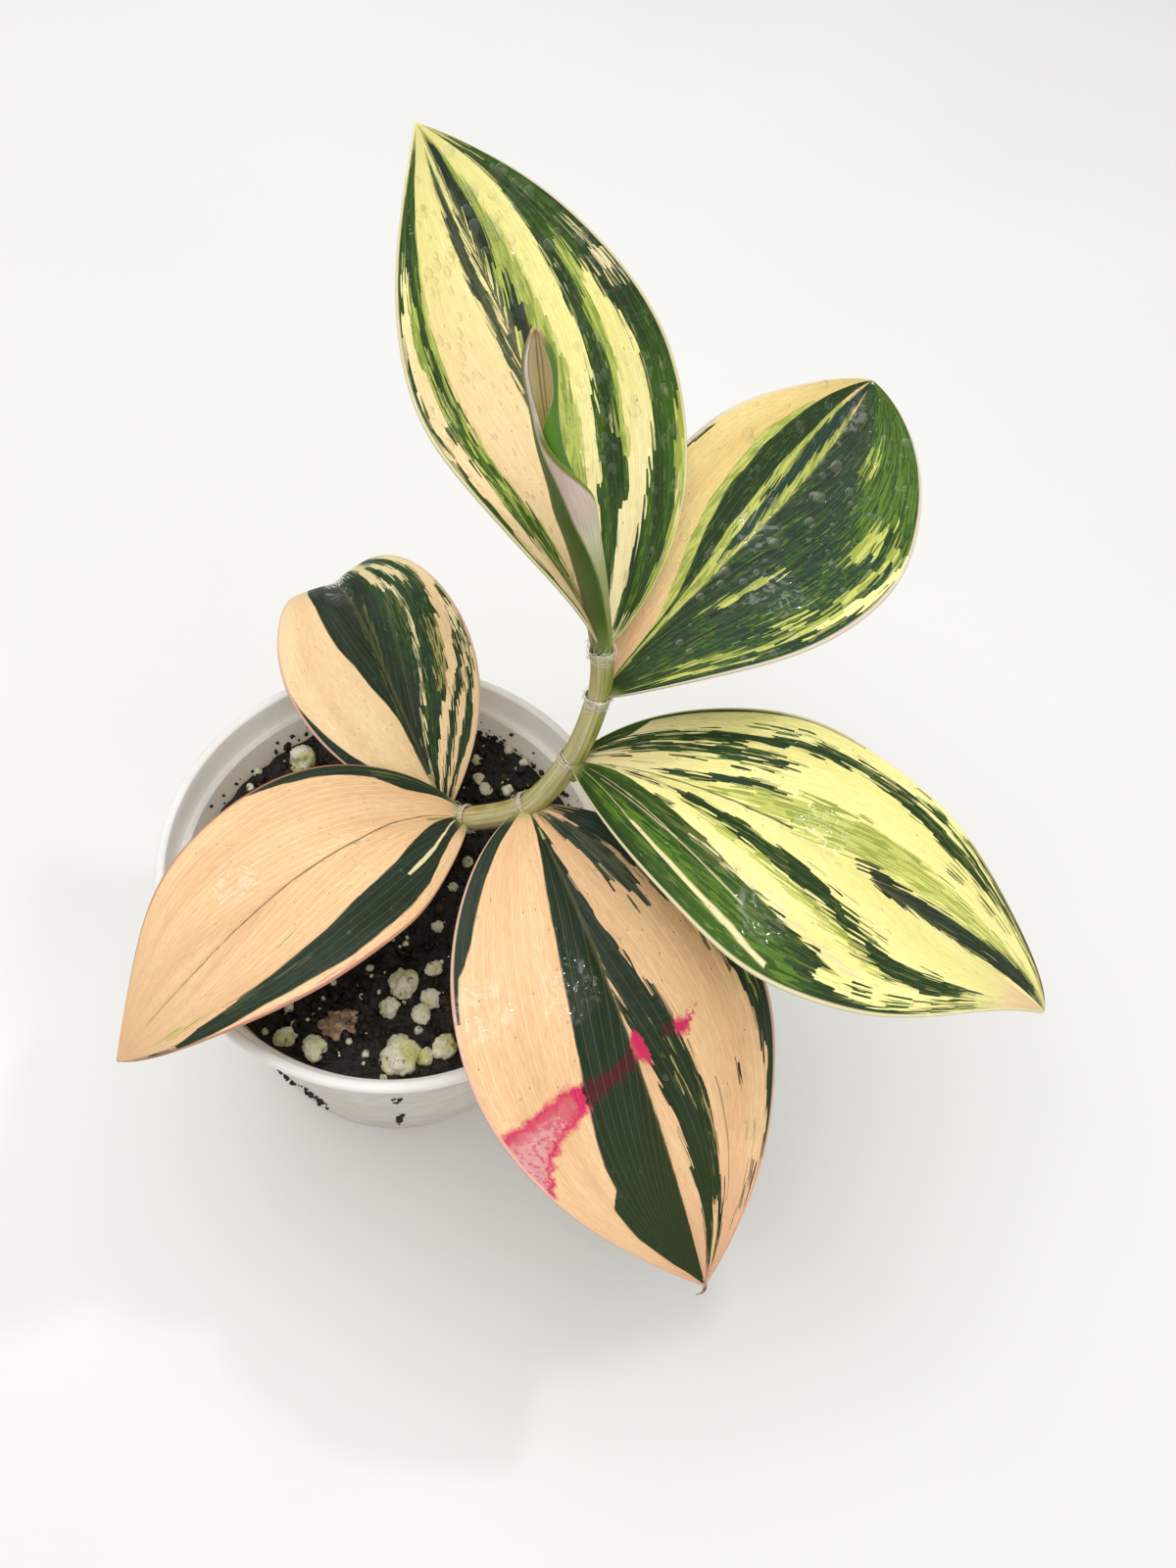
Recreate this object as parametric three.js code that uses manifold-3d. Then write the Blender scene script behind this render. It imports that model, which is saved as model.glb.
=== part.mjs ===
// Potted variegated spiral ginger: a young cane that leans out of a frosted plastic nursery pot,
// with six leaves set in a spiral and a rolled new leaf at the top.
// Millimetres, +Z up. The origin is the centre of the pot's base, on the surface it stands on.
import * as THREE from 'three';
import { mergeVertices } from 'three/addons/utils/BufferGeometryUtils.js';
import Module from 'manifold-3d';

// Pot
const POT_HEIGHT = 80;
const POT_BASE_RADIUS = 34;
const POT_WALL = 1.2;
const POT_FLOOR = 1.4;
const LIP_RADIUS = 45;
const LIP_WIDTH = 1.9;
const LIP_DEPTH = 1.6;
const COLLAR_RADIUS = 43.9;
const COLLAR_HEIGHT = 7.2;
const SHOULDER_RADIUS = 42.2;
const SHOULDER_DROP = 1.3;
const POT_SIDES = 56;
const DRAIN_HOLES = 8;
const DRAIN_HOLE_RADIUS = 2.6;
const DRAIN_RING_RADIUS = 26;

// Soil and perlite
const SOIL_TOP = 66.5;
const SOIL_SIDES = 40;
const SOIL_RINGS = 8;
const SOIL_ROUGHNESS = 0.9;
const PERLITE_COUNT = 24;
const PERLITE_SMALL = 1.0;
const PERLITE_LARGE = 1.9;
const PERLITE_EDGE = 37;
const PERLITE_STEM_CLEARANCE = 7;
// Grains that stand out on the surface: x, y, radius
const BIG_GRAINS = [
  [10.8, -33.4, 3.7], [7, -19.7, 3.0], [6, -25, 2.1], [13.1, -21.1, 2.4], [11.8, -15, 1.8],
  [18.3, -29.6, 2.3], [15.3, -32.5, 1.8], [-11, -35.5, 2.2], [-5.1, -36, 2.5], [-27.8, 21.9, 2.9],
  [9.9, -6.4, 1.3], [9, 28.2, 1.3], [15.5, 27.5, 1.3],
];

// What touches keeps this gap
const GAP = 0.3;

// The cane's middle line: foot in the soil, the surface, then the mouth of each leaf's sheath
const FOOT = [-3.5, 10.4, 46];
const AT_SOIL = [2.4, 11.5, 66.5];
const CANE_FOOT_RADIUS = 1.8;
const CANE_TIP_RADIUS = 0.85;
const SHEATH_WALL = 0.5;
const SHEATH_OVERLAP = 3;
const SHEATH_SPREAD = 3;
const MOUTH_CLEARANCE = 0.6;
const SHEATH_FLARE = 2.2;
const MOUTH_FLARE = 0.15;
const SHEATH_SIDES = 12;
const SHEATH_STEP = 4;
const CHANNEL_REACH = 12;
const HOLE_DEPTH = 9;

// Leaves from the lowest up. node: where the blade leaves the sheath; mouth: the sheath's outer radius.
// heading, rise and tilt are degrees at the blade's base, middle and tip; half gives the left and right
// half width; full the two powers that shape the outline; left and right the angle at which each wing
// leaves the midrib and the one it has at its margin; curl bends the tip down from a place on.
const LEAVES = {
  leaf_back_left: {
    node: [6.0, 12.8, 77.5], mouth: 3.5, length: 62, half: [19, 18.5], full: [0.94, 0.81],
    heading: [134, 133, 136], rise: [33, 24, 13], tilt: [2, -2, -2],
    left: [10, -16], right: [16, -2], curl: [97, 0.64], wave: [0.3, 2, 0.4], colour: 0x6f7f5a,
  },
  leaf_left: {
    node: [10.9, 10.6, 83.0], mouth: 3.4, length: 80, half: [22.5, 20], full: [0.75, 0.89],
    heading: [-155, -121, -120], rise: [23, 0, -32], tilt: [-2, 3, 16],
    left: [18, 4], right: [-7, 3], curl: [0, 0.5], wave: [0.5, 2.5, 0.2], colour: 0xe7bf93,
  },
  leaf_front: {
    node: [21.7, 11.9, 92.0], mouth: 3.25, length: 95, half: [26.5, 29.5], full: [0.86, 0.99],
    heading: [-55, -52, -57], rise: [18, -20, -30], tilt: [2, 1, -6],
    left: [17, -1], right: [17, -2], curl: [0, 0.5], wave: [0.5, 3, 0.7], colour: 0xd9b48c,
  },
  leaf_right: {
    node: [27.7, 17.5, 103.0], mouth: 3.05, length: 96, half: [23, 30.5], full: [0.86, 0.77],
    heading: [-6, -13, -32], rise: [26, -8, 5], tilt: [-2, 0, -25],
    left: [14, -1], right: [21, -1], curl: [0, 0.5], wave: [0.5, 3, 0.1], colour: 0xc9cf7e,
  },
  leaf_back_right: {
    node: [29.7, 23.7, 116.0], mouth: 2.8, length: 84, half: [20.5, 26.5], full: [0.84, 0.79],
    heading: [61, 62, 76], rise: [30, 9, 19], tilt: [-16, 7, 10],
    left: [20, 15], right: [20, 10], curl: [0, 0.5], wave: [0.5, 2.5, 0.6], colour: 0x4f7a35,
  },
  leaf_back: {
    node: [28.4, 26.3, 126.0], mouth: 2.5, length: 89, half: [25.5, 24], full: [0.78, 0.93],
    heading: [118, 132, 145], rise: [31, 31, 38], tilt: [45, 2, -2],
    left: [23, 19], right: [20, 21], curl: [0, 0.5], wave: [0.3, 3, 0.3], colour: 0xb9c46a,
  },
};
const BLADE_ROWS = 20;
const BLADE_COLUMNS = 8;
const BLADE_THICKNESS = 0.62;
const MIDRIB_THICKNESS = 1.0;
const BLADE_BASE_HALF = 1.0;
const BLADE_TIP_HALF = 0.3;
const MIDRIB_STEPS = 160;
const PETIOLE_RADIUS = 1.15;
const PETIOLE_REACH = 9;
const PETIOLE_DROP = 3.2;

// The rolled new leaf: the last points of its middle line, and along it the outer radius, the degrees
// that the sheet winds from its back to its outer and to its inner margin, and the step of each turn
const ROLL_BEND = [19.8, 31.9, 150];
const ROLL_NECK = [13.9, 34.1, 161.8];
const ROLL_TIP = [9.1, 38, 178];
const ROLL_RADIUS = [[0, 1.5], [0.06, 1.5], [0.16, 2.0], [0.3, 2.7], [0.42, 3.2], [0.52, 3.7],
  [0.62, 2.75], [0.74, 2.35], [0.84, 2.4], [0.91, 2.8], [0.96, 2.1], [1, 0.7]];
const ROLL_OUTER_WRAP = [[0, 285], [0.45, 300], [0.54, 268], [0.62, 235], [0.69, 190], [0.76, 152],
  [0.85, 136], [1, 125]];
const ROLL_INNER_WRAP = [[0, 220], [0.6, 240], [0.72, 230], [0.8, 175], [0.85, 138], [1, 148]];
const ROLL_STEP = [[0, 0.95], [0.68, 0.95], [0.82, 0.35], [1, 0.25]];
const ROLL_BACK = 114;
const ROLL_WALL = 0.6;
const ROLL_ROWS = 17;
const ROLL_COLUMNS = 22;

const wasm = await Module();
wasm.setup();

// A repeatable draw between 0 and 1
function seeded(seed) {
  let state = seed >>> 0;
  return () => {
    state = (Math.imul(state, 1664525) + 1013904223) >>> 0;
    return state / 4294967296;
  };
}

// A value read along a short list of [place, value] pairs, eased between them
function along(pairs, place) {
  let i = 0;
  while (i < pairs.length - 2 && place > pairs[i + 1][0]) i += 1;
  const [from, a] = pairs[i];
  const [to, b] = pairs[i + 1];
  const t = THREE.MathUtils.clamp((place - from) / (to - from), 0, 1);
  return a + (b - a) * THREE.MathUtils.smoothstep(t, 0, 1);
}

// A curve through a value at the base, the middle and the tip
function through([base, middle, tip], u) {
  return base + (4 * middle - 3 * base - tip) * u + (2 * base + 2 * tip - 4 * middle) * u * u;
}

function toSolid(geometry) {
  const bare = new THREE.BufferGeometry();
  bare.setAttribute('position', geometry.getAttribute('position').clone());
  if (geometry.index) bare.setIndex(geometry.index.clone());
  const merged = mergeVertices(bare, 1e-4);
  const corners = merged.index.array;
  const kept = [];
  for (let i = 0; i < corners.length; i += 3) {
    const [a, b, c] = [corners[i], corners[i + 1], corners[i + 2]];
    if (a !== b && b !== c && a !== c) kept.push(a, b, c);
  }
  return new wasm.Manifold(new wasm.Mesh({
    numProp: 3,
    vertProperties: new Float32Array(merged.getAttribute('position').array),
    triVerts: new Uint32Array(kept),
  }));
}

function toGeometry(solid) {
  const mesh = solid.getMesh();
  const geometry = new THREE.BufferGeometry();
  const positions = new Float32Array(mesh.numVert * 3);
  for (let i = 0; i < mesh.numVert; i += 1) {
    for (let k = 0; k < 3; k += 1) positions[3 * i + k] = mesh.vertProperties[mesh.numProp * i + k];
  }
  geometry.setAttribute('position', new THREE.BufferAttribute(positions, 3));
  geometry.setIndex(new THREE.BufferAttribute(new Uint32Array(mesh.triVerts), 1));
  geometry.computeVertexNormals();
  return geometry;
}

// A closed surface over a grid of points; columns wrap round, and rows wrap too where the loop closes
function wrappedGrid(rows, columns, point, rowsClose) {
  const positions = [];
  const index = [];
  for (let i = 0; i < rows; i += 1) {
    for (let j = 0; j < columns; j += 1) positions.push(...point(i, j));
  }
  const bands = rowsClose ? rows : rows - 1;
  for (let i = 0; i < bands; i += 1) {
    const below = i * columns;
    const above = ((i + 1) % rows) * columns;
    for (let j = 0; j < columns; j += 1) {
      const next = (j + 1) % columns;
      index.push(below + j, below + next, above + next, below + j, above + next, above + j);
    }
  }
  const geometry = new THREE.BufferGeometry();
  geometry.setAttribute('position', new THREE.Float32BufferAttribute(positions, 3));
  geometry.setIndex(index);
  return geometry;
}

// A thin sheet with a front and a back over the same grid, split alike, closed along its edges
function sheetGeometry(rows, columns, front, back) {
  const positions = [];
  const index = [];
  const across = columns + 1;
  const count = (rows + 1) * across;
  for (const face of [front, back]) {
    for (let i = 0; i <= rows; i += 1) {
      for (let j = 0; j <= columns; j += 1) positions.push(...face(i / rows, j / columns));
    }
  }
  for (let i = 0; i < rows; i += 1) {
    for (let j = 0; j < columns; j += 1) {
      const a = i * across + j;
      const [b, c, d] = [a + 1, a + across + 1, a + across];
      index.push(a, b, c, a, c, d);
      index.push(count + a, count + c, count + b, count + a, count + d, count + c);
    }
  }
  const edge = [];
  for (let j = 0; j < columns; j += 1) edge.push(j);
  for (let i = 0; i < rows; i += 1) edge.push(i * across + columns);
  for (let j = columns; j > 0; j -= 1) edge.push(rows * across + j);
  for (let i = rows; i > 0; i -= 1) edge.push(i * across);
  edge.forEach((a, k) => {
    const b = edge[(k + 1) % edge.length];
    index.push(a, count + a, count + b, a, count + b, b);
  });
  const geometry = new THREE.BufferGeometry();
  geometry.setAttribute('position', new THREE.Float32BufferAttribute(positions, 3));
  geometry.setIndex(index);
  return geometry;
}

// The stem line, with a steady frame to set rings round it
const leafList = Object.values(LEAVES);
const stemPoints = [FOOT, AT_SOIL, ...leafList.map((leaf) => leaf.node), ROLL_BEND, ROLL_NECK, ROLL_TIP];
const stemLine = new THREE.CatmullRomCurve3(
  stemPoints.map((p) => new THREE.Vector3(...p)), false, 'centripetal');
const stemLength = stemLine.getLength();

// Distance along the stem line at one of its own points
function lengthAt(pointIndex) {
  const steps = 400;
  const share = pointIndex / (stemPoints.length - 1);
  let total = 0;
  const before = stemLine.getPoint(0);
  const here = new THREE.Vector3();
  for (let i = 1; i <= steps; i += 1) {
    stemLine.getPoint((share * i) / steps, here);
    total += here.distanceTo(before);
    before.copy(here);
  }
  return total;
}

const soilAt = lengthAt(1);
const mouthAt = leafList.map((_, k) => lengthAt(k + 2));
const rollStart = mouthAt[mouthAt.length - 1] - SHEATH_OVERLAP;

function stemFrame(distance) {
  const share = THREE.MathUtils.clamp(distance / stemLength, 0, 1);
  const centre = stemLine.getPointAt(share);
  const forward = stemLine.getTangentAt(share);
  const side = new THREE.Vector3(0, 1, 0).cross(forward).normalize();
  const front = forward.clone().cross(side);
  return { centre, side, front };
}

// A body turned round the stem line from a profile of [distance, radius]
function turnedOnStem(profile, closes) {
  const frames = profile.map(([distance]) => stemFrame(distance));
  return toSolid(wrappedGrid(profile.length, SHEATH_SIDES, (i, j) => {
    const angle = (2 * Math.PI * j) / SHEATH_SIDES;
    const radius = profile[i][1];
    return frames[i].centre.clone()
      .addScaledVector(frames[i].side, radius * Math.cos(angle))
      .addScaledVector(frames[i].front, radius * Math.sin(angle))
      .toArray();
  }, closes));
}

// Outer radius of the sheath that starts inside the mouth below it
function sheathRootRadius(k) {
  return leafList[Math.max(0, k - 1)].mouth - MOUTH_FLARE - SHEATH_WALL - GAP;
}

function sheathSpan(k) {
  const start = k === 0 ? soilAt - HOLE_DEPTH : mouthAt[k - 1] - SHEATH_OVERLAP;
  return { start, end: mouthAt[k] };
}

// The sheath widens from its root to just above the mouth it comes out of, then slowly to its own
function sheathOuter(k, distance) {
  const { start, end } = sheathSpan(k);
  const root = sheathRootRadius(k);
  const clear = start + SHEATH_OVERLAP + MOUTH_CLEARANCE;
  const body = leafList[k].mouth - MOUTH_FLARE;
  if (distance <= clear) return root;
  if (distance >= end - SHEATH_FLARE) {
    return body + (leafList[k].mouth - body) * ((distance - end + SHEATH_FLARE) / SHEATH_FLARE);
  }
  return root + (body - root) * Math.min(1, (distance - clear) / SHEATH_SPREAD);
}

function sheathStations(k) {
  const { start, end } = sheathSpan(k);
  const clear = start + SHEATH_OVERLAP + MOUTH_CLEARANCE;
  const spread = clear + SHEATH_SPREAD;
  const stations = [start, clear, spread];
  const length = end - SHEATH_FLARE - spread;
  const steps = Math.max(1, Math.round(length / SHEATH_STEP));
  for (let i = 1; i <= steps; i += 1) stations.push(spread + (length * i) / steps);
  stations.push(end);
  return stations;
}

function sheath(k) {
  const outer = sheathStations(k).map((distance) => [distance, sheathOuter(k, distance)]);
  const inner = outer.map(([distance, radius]) => [distance, radius - SHEATH_WALL]).reverse();
  return turnedOnStem([...outer, ...inner], true);
}

// The room that what comes out of a mouth needs, as a solid to cut away
function channel(k) {
  const profile = sheathStations(k).map((distance) => [distance, sheathOuter(k, distance) - SHEATH_WALL]);
  const end = mouthAt[k];
  const steps = 4;
  for (let i = 1; i <= steps; i += 1) {
    const distance = end + (CHANNEL_REACH * i) / steps;
    const next = k + 1 < leafList.length
      ? sheathOuter(k + 1, distance)
      : along(ROLL_RADIUS, (distance - rollStart) / (stemLength - rollStart)) + 0.1;
    profile.push([distance, Math.max(next + GAP, profile[profile.length - 1][1])]);
  }
  const first = profile[0][0];
  const last = profile[profile.length - 1][0];
  return turnedOnStem([[first, 0], ...profile, [last, 0]], false);
}

// Midrib of a blade: its points and the directions across and above it
function midrib(leaf) {
  const [curlAngle, curlStart] = leaf.curl;
  const rad = THREE.MathUtils.degToRad;
  const stations = [];
  const place = new THREE.Vector3(...leaf.node);
  let previous = null;
  for (let i = 0; i <= MIDRIB_STEPS; i += 1) {
    const u = i / MIDRIB_STEPS;
    const curled = Math.max(0, (u - curlStart) / (1 - curlStart)) ** 1.3;
    const heading = rad(through(leaf.heading, u));
    const rise = rad(through(leaf.rise, u) - curlAngle * curled);
    const tilt = rad(through(leaf.tilt, u));
    const ahead = new THREE.Vector3(
      Math.cos(heading) * Math.cos(rise), Math.sin(heading) * Math.cos(rise), Math.sin(rise));
    if (previous) place.addScaledVector(ahead.clone().add(previous), leaf.length / MIDRIB_STEPS / 2);
    previous = ahead;
    const level = new THREE.Vector3(-Math.sin(heading), Math.cos(heading), 0);
    const upright = ahead.clone().cross(level);
    const across = level.clone().multiplyScalar(Math.cos(tilt)).addScaledVector(upright, Math.sin(tilt));
    const above = upright.clone().multiplyScalar(Math.cos(tilt)).addScaledVector(level, -Math.sin(tilt));
    stations.push({ place: place.clone(), across, above });
  }
  return stations;
}

// A point of a blade: u runs from the base to the tip, v from the right margin (-1) to the left (1)
function bladePoint(leaf, stations, u, v) {
  const rad = THREE.MathUtils.degToRad;
  const station = stations[Math.round(THREE.MathUtils.clamp(u, 0, 1) * MIDRIB_STEPS)];
  const [towardsBase, towardsTip] = leaf.full;
  const widest = towardsBase / (towardsBase + towardsTip);
  const inside = THREE.MathUtils.clamp(u, 1e-6, 1 - 1e-6);
  const outline = (inside / widest) ** towardsBase * ((1 - inside) / (1 - widest)) ** towardsTip;
  const toLeft = v >= 0;
  const halfWidth = toLeft ? leaf.half[0] : leaf.half[1];
  const [fold, lift] = toLeft ? leaf.left : leaf.right;
  const narrowest = BLADE_BASE_HALF + (BLADE_TIP_HALF - BLADE_BASE_HALF) * u;
  const reach = Math.max(halfWidth * outline, narrowest);
  const out = Math.abs(v);
  const start = rad(fold);
  const bend = (rad(lift) - start) * outline * out;
  const chord = Math.abs(bend) < 1e-4 ? 1 : Math.sin(bend / 2) / (bend / 2);
  const slope = start + bend / 2;
  const [size, count, phase] = leaf.wave;
  const turn = count * u + phase + (toLeft ? 0 : 0.35);
  const ripple = size * out * out * outline * Math.sin(2 * Math.PI * turn);
  return station.place.clone()
    .addScaledVector(station.across, (toLeft ? 1 : -1) * reach * out * chord * Math.cos(slope))
    .addScaledVector(station.above, reach * out * chord * Math.sin(slope) + ripple);
}

// The way a blade faces at a point, from its neighbours along and across
function bladeFacing(leaf, stations, u, v) {
  const step = 1 / MIDRIB_STEPS;
  const [u0, u1] = [Math.max(0, u - 2 * step), Math.min(1, u + 2 * step)];
  const [v0, v1] = [Math.max(-1, v - 0.02), Math.min(1, v + 0.02)];
  const alongLeaf = bladePoint(leaf, stations, u1, v).sub(bladePoint(leaf, stations, u0, v));
  const acrossLeaf = bladePoint(leaf, stations, u, v1).sub(bladePoint(leaf, stations, u, v0));
  return alongLeaf.cross(acrossLeaf).normalize();
}

function blade(leaf) {
  const stations = midrib(leaf);
  const spread = (share) => 2 * share - 1;
  const thickness = (u, v) => {
    const rib = Math.max(0, 1 - Math.abs(v) * 3) * (1 - u);
    return BLADE_THICKNESS + (MIDRIB_THICKNESS - BLADE_THICKNESS) * rib;
  };
  const face = (u, share, sign) => {
    const v = spread(share);
    const up = bladeFacing(leaf, stations, u, v);
    const offset = sign > 0 ? BLADE_THICKNESS / 2 : BLADE_THICKNESS / 2 - thickness(u, v);
    return bladePoint(leaf, stations, u, v).addScaledVector(up, offset).toArray();
  };
  return toSolid(sheetGeometry(BLADE_ROWS, BLADE_COLUMNS,
    (u, share) => face(u, 1 - share, 1), (u, share) => face(u, 1 - share, -1)));
}

// The short stalk that carries the blade out of its sheath's wall
function petiole(leaf, k) {
  const stations = midrib(leaf);
  const root = stemFrame(mouthAt[k] - PETIOLE_DROP).centre;
  const ahead = stations[4].place.clone().sub(stations[0].place).normalize();
  root.addScaledVector(new THREE.Vector3(ahead.x, ahead.y, 0).normalize(), leaf.mouth - 0.5);
  const far = stations[Math.round((PETIOLE_REACH / leaf.length) * MIDRIB_STEPS)];
  const middle = stations[Math.round((0.5 * PETIOLE_REACH / leaf.length) * MIDRIB_STEPS)];
  const line = new THREE.CatmullRomCurve3([
    root,
    middle.place.clone().addScaledVector(middle.above, -1.1),
    far.place.clone().addScaledVector(far.above, -0.35),
  ]);
  const outline = new THREE.Shape();
  outline.absarc(0, 0, PETIOLE_RADIUS, 0, 2 * Math.PI);
  const round = new THREE.ExtrudeGeometry(outline, { steps: 6, curveSegments: 8, extrudePath: line });
  return toSolid(round);
}

function leafSolid(leaf, k) {
  return toGeometry(sheath(k).add(petiole(leaf, k)).add(blade(leaf)).subtract(channel(k)));
}

// A point of the rolled leaf: u from the stem to the tip, v from the inner margin (0) to the outer (1)
function rolledPoint(u, v) {
  const distance = rollStart + (stemLength - rollStart) * u;
  const { centre, side, front } = stemFrame(distance);
  const outerWrap = along(ROLL_OUTER_WRAP, u);
  const wound = (outerWrap + along(ROLL_INNER_WRAP, u)) * (1 - v);
  const outermost = along(ROLL_RADIUS, u);
  const step = along(ROLL_STEP, u) * Math.min(1, outermost / 2.2);
  const radius = Math.max(outermost - (step * wound) / 360, 0.32);
  const angle = THREE.MathUtils.degToRad(ROLL_BACK + outerWrap - wound);
  return centre.clone()
    .addScaledVector(side, radius * Math.cos(angle))
    .addScaledVector(front, radius * Math.sin(angle));
}

function newLeaf() {
  const face = (u, v, offset) => {
    const here = rolledPoint(u, v);
    const centre = stemFrame(rollStart + (stemLength - rollStart) * u).centre;
    return here.addScaledVector(here.clone().sub(centre).normalize(), offset).toArray();
  };
  return toGeometry(toSolid(sheetGeometry(ROLL_ROWS, ROLL_COLUMNS,
    (u, v) => face(u, v, 0), (u, v) => face(u, v, -ROLL_WALL))));
}

function cane() {
  const end = rollStart - GAP;
  const start = soilAt - HOLE_DEPTH;
  const profile = [[start, 0]];
  const steps = 14;
  for (let i = 0; i <= steps; i += 1) {
    const share = i / steps;
    const radius = CANE_FOOT_RADIUS + (CANE_TIP_RADIUS - CANE_FOOT_RADIUS) * share;
    profile.push([start + (end - start) * share, radius]);
  }
  profile.push([end, 0]);
  return toGeometry(turnedOnStem(profile, false));
}

function potGeometry() {
  const collarFoot = POT_HEIGHT - COLLAR_HEIGHT;
  const innerCollar = LIP_RADIUS - LIP_WIDTH;
  const profile = [
    [0, 0], [POT_BASE_RADIUS - 0.8, 0], [POT_BASE_RADIUS, 0.8],
    [SHOULDER_RADIUS, collarFoot - SHOULDER_DROP], [COLLAR_RADIUS - 0.4, collarFoot],
    [COLLAR_RADIUS, POT_HEIGHT - LIP_DEPTH - 0.5], [LIP_RADIUS, POT_HEIGHT - LIP_DEPTH + 0.3],
    [LIP_RADIUS, POT_HEIGHT - 0.4], [LIP_RADIUS - 0.4, POT_HEIGHT], [innerCollar + 0.3, POT_HEIGHT],
    [innerCollar, POT_HEIGHT - 0.4], [innerCollar - 0.4, collarFoot + 1.2],
    [SHOULDER_RADIUS - POT_WALL, collarFoot],
    [SHOULDER_RADIUS - POT_WALL - 0.15, collarFoot - SHOULDER_DROP],
    [POT_BASE_RADIUS - POT_WALL, POT_FLOOR], [0, POT_FLOOR],
  ].map(([r, z]) => new THREE.Vector2(r, z));
  const shell = new THREE.LatheGeometry(profile, POT_SIDES).rotateX(Math.PI / 2);
  let pot = toSolid(shell);
  for (let i = 0; i < DRAIN_HOLES; i += 1) {
    const angle = (2 * Math.PI * (i + 0.5)) / DRAIN_HOLES;
    const hole = new THREE.CylinderGeometry(DRAIN_HOLE_RADIUS, DRAIN_HOLE_RADIUS, 3 * POT_FLOOR, 12)
      .rotateX(Math.PI / 2)
      .translate(DRAIN_RING_RADIUS * Math.cos(angle), DRAIN_RING_RADIUS * Math.sin(angle), POT_FLOOR / 2);
    pot = pot.subtract(toSolid(hole));
  }
  return toGeometry(pot);
}

function potInnerRadius(z) {
  const top = POT_HEIGHT - COLLAR_HEIGHT - SHOULDER_DROP;
  const share = (z - POT_FLOOR) / (top - POT_FLOOR);
  const low = POT_BASE_RADIUS - POT_WALL;
  return low + (SHOULDER_RADIUS - POT_WALL - 0.15 - low) * share;
}

// Height of the soil's crumbly surface
function soilHeight(x, y) {
  const wide = Math.sin(0.16 * x + 0.6) * Math.cos(0.19 * y - 0.4);
  const fine = Math.sin(0.53 * x + 1.9) * Math.sin(0.47 * y + 0.8) + 0.6 * Math.sin(0.9 * (x + y));
  return SOIL_TOP + SOIL_ROUGHNESS * (0.7 * wide + 0.45 * fine);
}

function soilGeometry() {
  const bottom = POT_FLOOR + GAP;
  const wallGap = GAP + 0.15;
  const rim = potInnerRadius(SOIL_TOP) - wallGap;
  const rows = [[0, bottom], [potInnerRadius(bottom) - wallGap, bottom]];
  for (let i = SOIL_RINGS; i >= 0; i -= 1) rows.push([(rim * i) / SOIL_RINGS, null]);
  const body = wrappedGrid(rows.length, SOIL_SIDES, (i, j) => {
    const angle = (2 * Math.PI * j) / SOIL_SIDES;
    const [r, z] = rows[i];
    const [x, y] = [r * Math.cos(angle), r * Math.sin(angle)];
    return [x, y, z === null ? soilHeight(x, y) : z];
  }, false);
  const draw = seeded(17);
  let soil = toSolid(body);
  const grains = BIG_GRAINS.slice();
  while (grains.length < BIG_GRAINS.length + PERLITE_COUNT) {
    const angle = 2 * Math.PI * draw();
    const out = PERLITE_EDGE * Math.sqrt(draw());
    const radius = PERLITE_SMALL + (PERLITE_LARGE - PERLITE_SMALL) * draw() ** 2;
    const [x, y] = [out * Math.cos(angle), out * Math.sin(angle)];
    const clear = grains.every(([gx, gy, gr]) => Math.hypot(x - gx, y - gy) > gr + radius + 0.6);
    const fromStem = Math.hypot(x - AT_SOIL[0], y - AT_SOIL[1]);
    if (clear && fromStem > PERLITE_STEM_CLEARANCE) grains.push([x, y, radius]);
  }
  for (const [x, y, radius] of grains) {
    const grain = new THREE.IcosahedronGeometry(radius, 0)
      .rotateX(3 * draw())
      .rotateZ(3 * draw())
      .translate(x, y, soilHeight(x, y) + 0.2 * radius);
    soil = soil.add(toSolid(grain));
  }
  const holeRadius = leafList[0].mouth + GAP;
  const hole = turnedOnStem([[soilAt - HOLE_DEPTH - GAP, 0], [soilAt - HOLE_DEPTH - GAP, holeRadius],
    [soilAt - 4, holeRadius], [soilAt + 8, holeRadius], [soilAt + 8, 0]], false);
  return toGeometry(soil.subtract(hole));
}

const plant = new THREE.Group();
plant.name = 'potted_spiral_ginger';

function place(name, geometry, colour, roughness) {
  const material = new THREE.MeshStandardMaterial({ color: colour, roughness, metalness: 0, name });
  const mesh = new THREE.Mesh(geometry, material);
  mesh.name = name;
  plant.add(mesh);
}

place('pot', potGeometry(), 0xd9d4cf, 0.35);
place('soil', soilGeometry(), 0x1f1a17, 0.95);
place('cane', cane(), 0x8fa05c, 0.5);
Object.entries(LEAVES).forEach(([name, leaf], k) => place(name, leafSolid(leaf, k), leaf.colour, 0.35));
place('new_leaf', newLeaf(), 0x8f9d76, 0.4);

export default plant;
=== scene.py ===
"""Looks of a young variegated spiral ginger in a frosted nursery pot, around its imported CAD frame.

Lengths in the tables are millimetres in the part's frame; build() turns them into metres.
"""

import math

import bpy
import numpy as np
from mathutils import Matrix, Vector, noise


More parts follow.
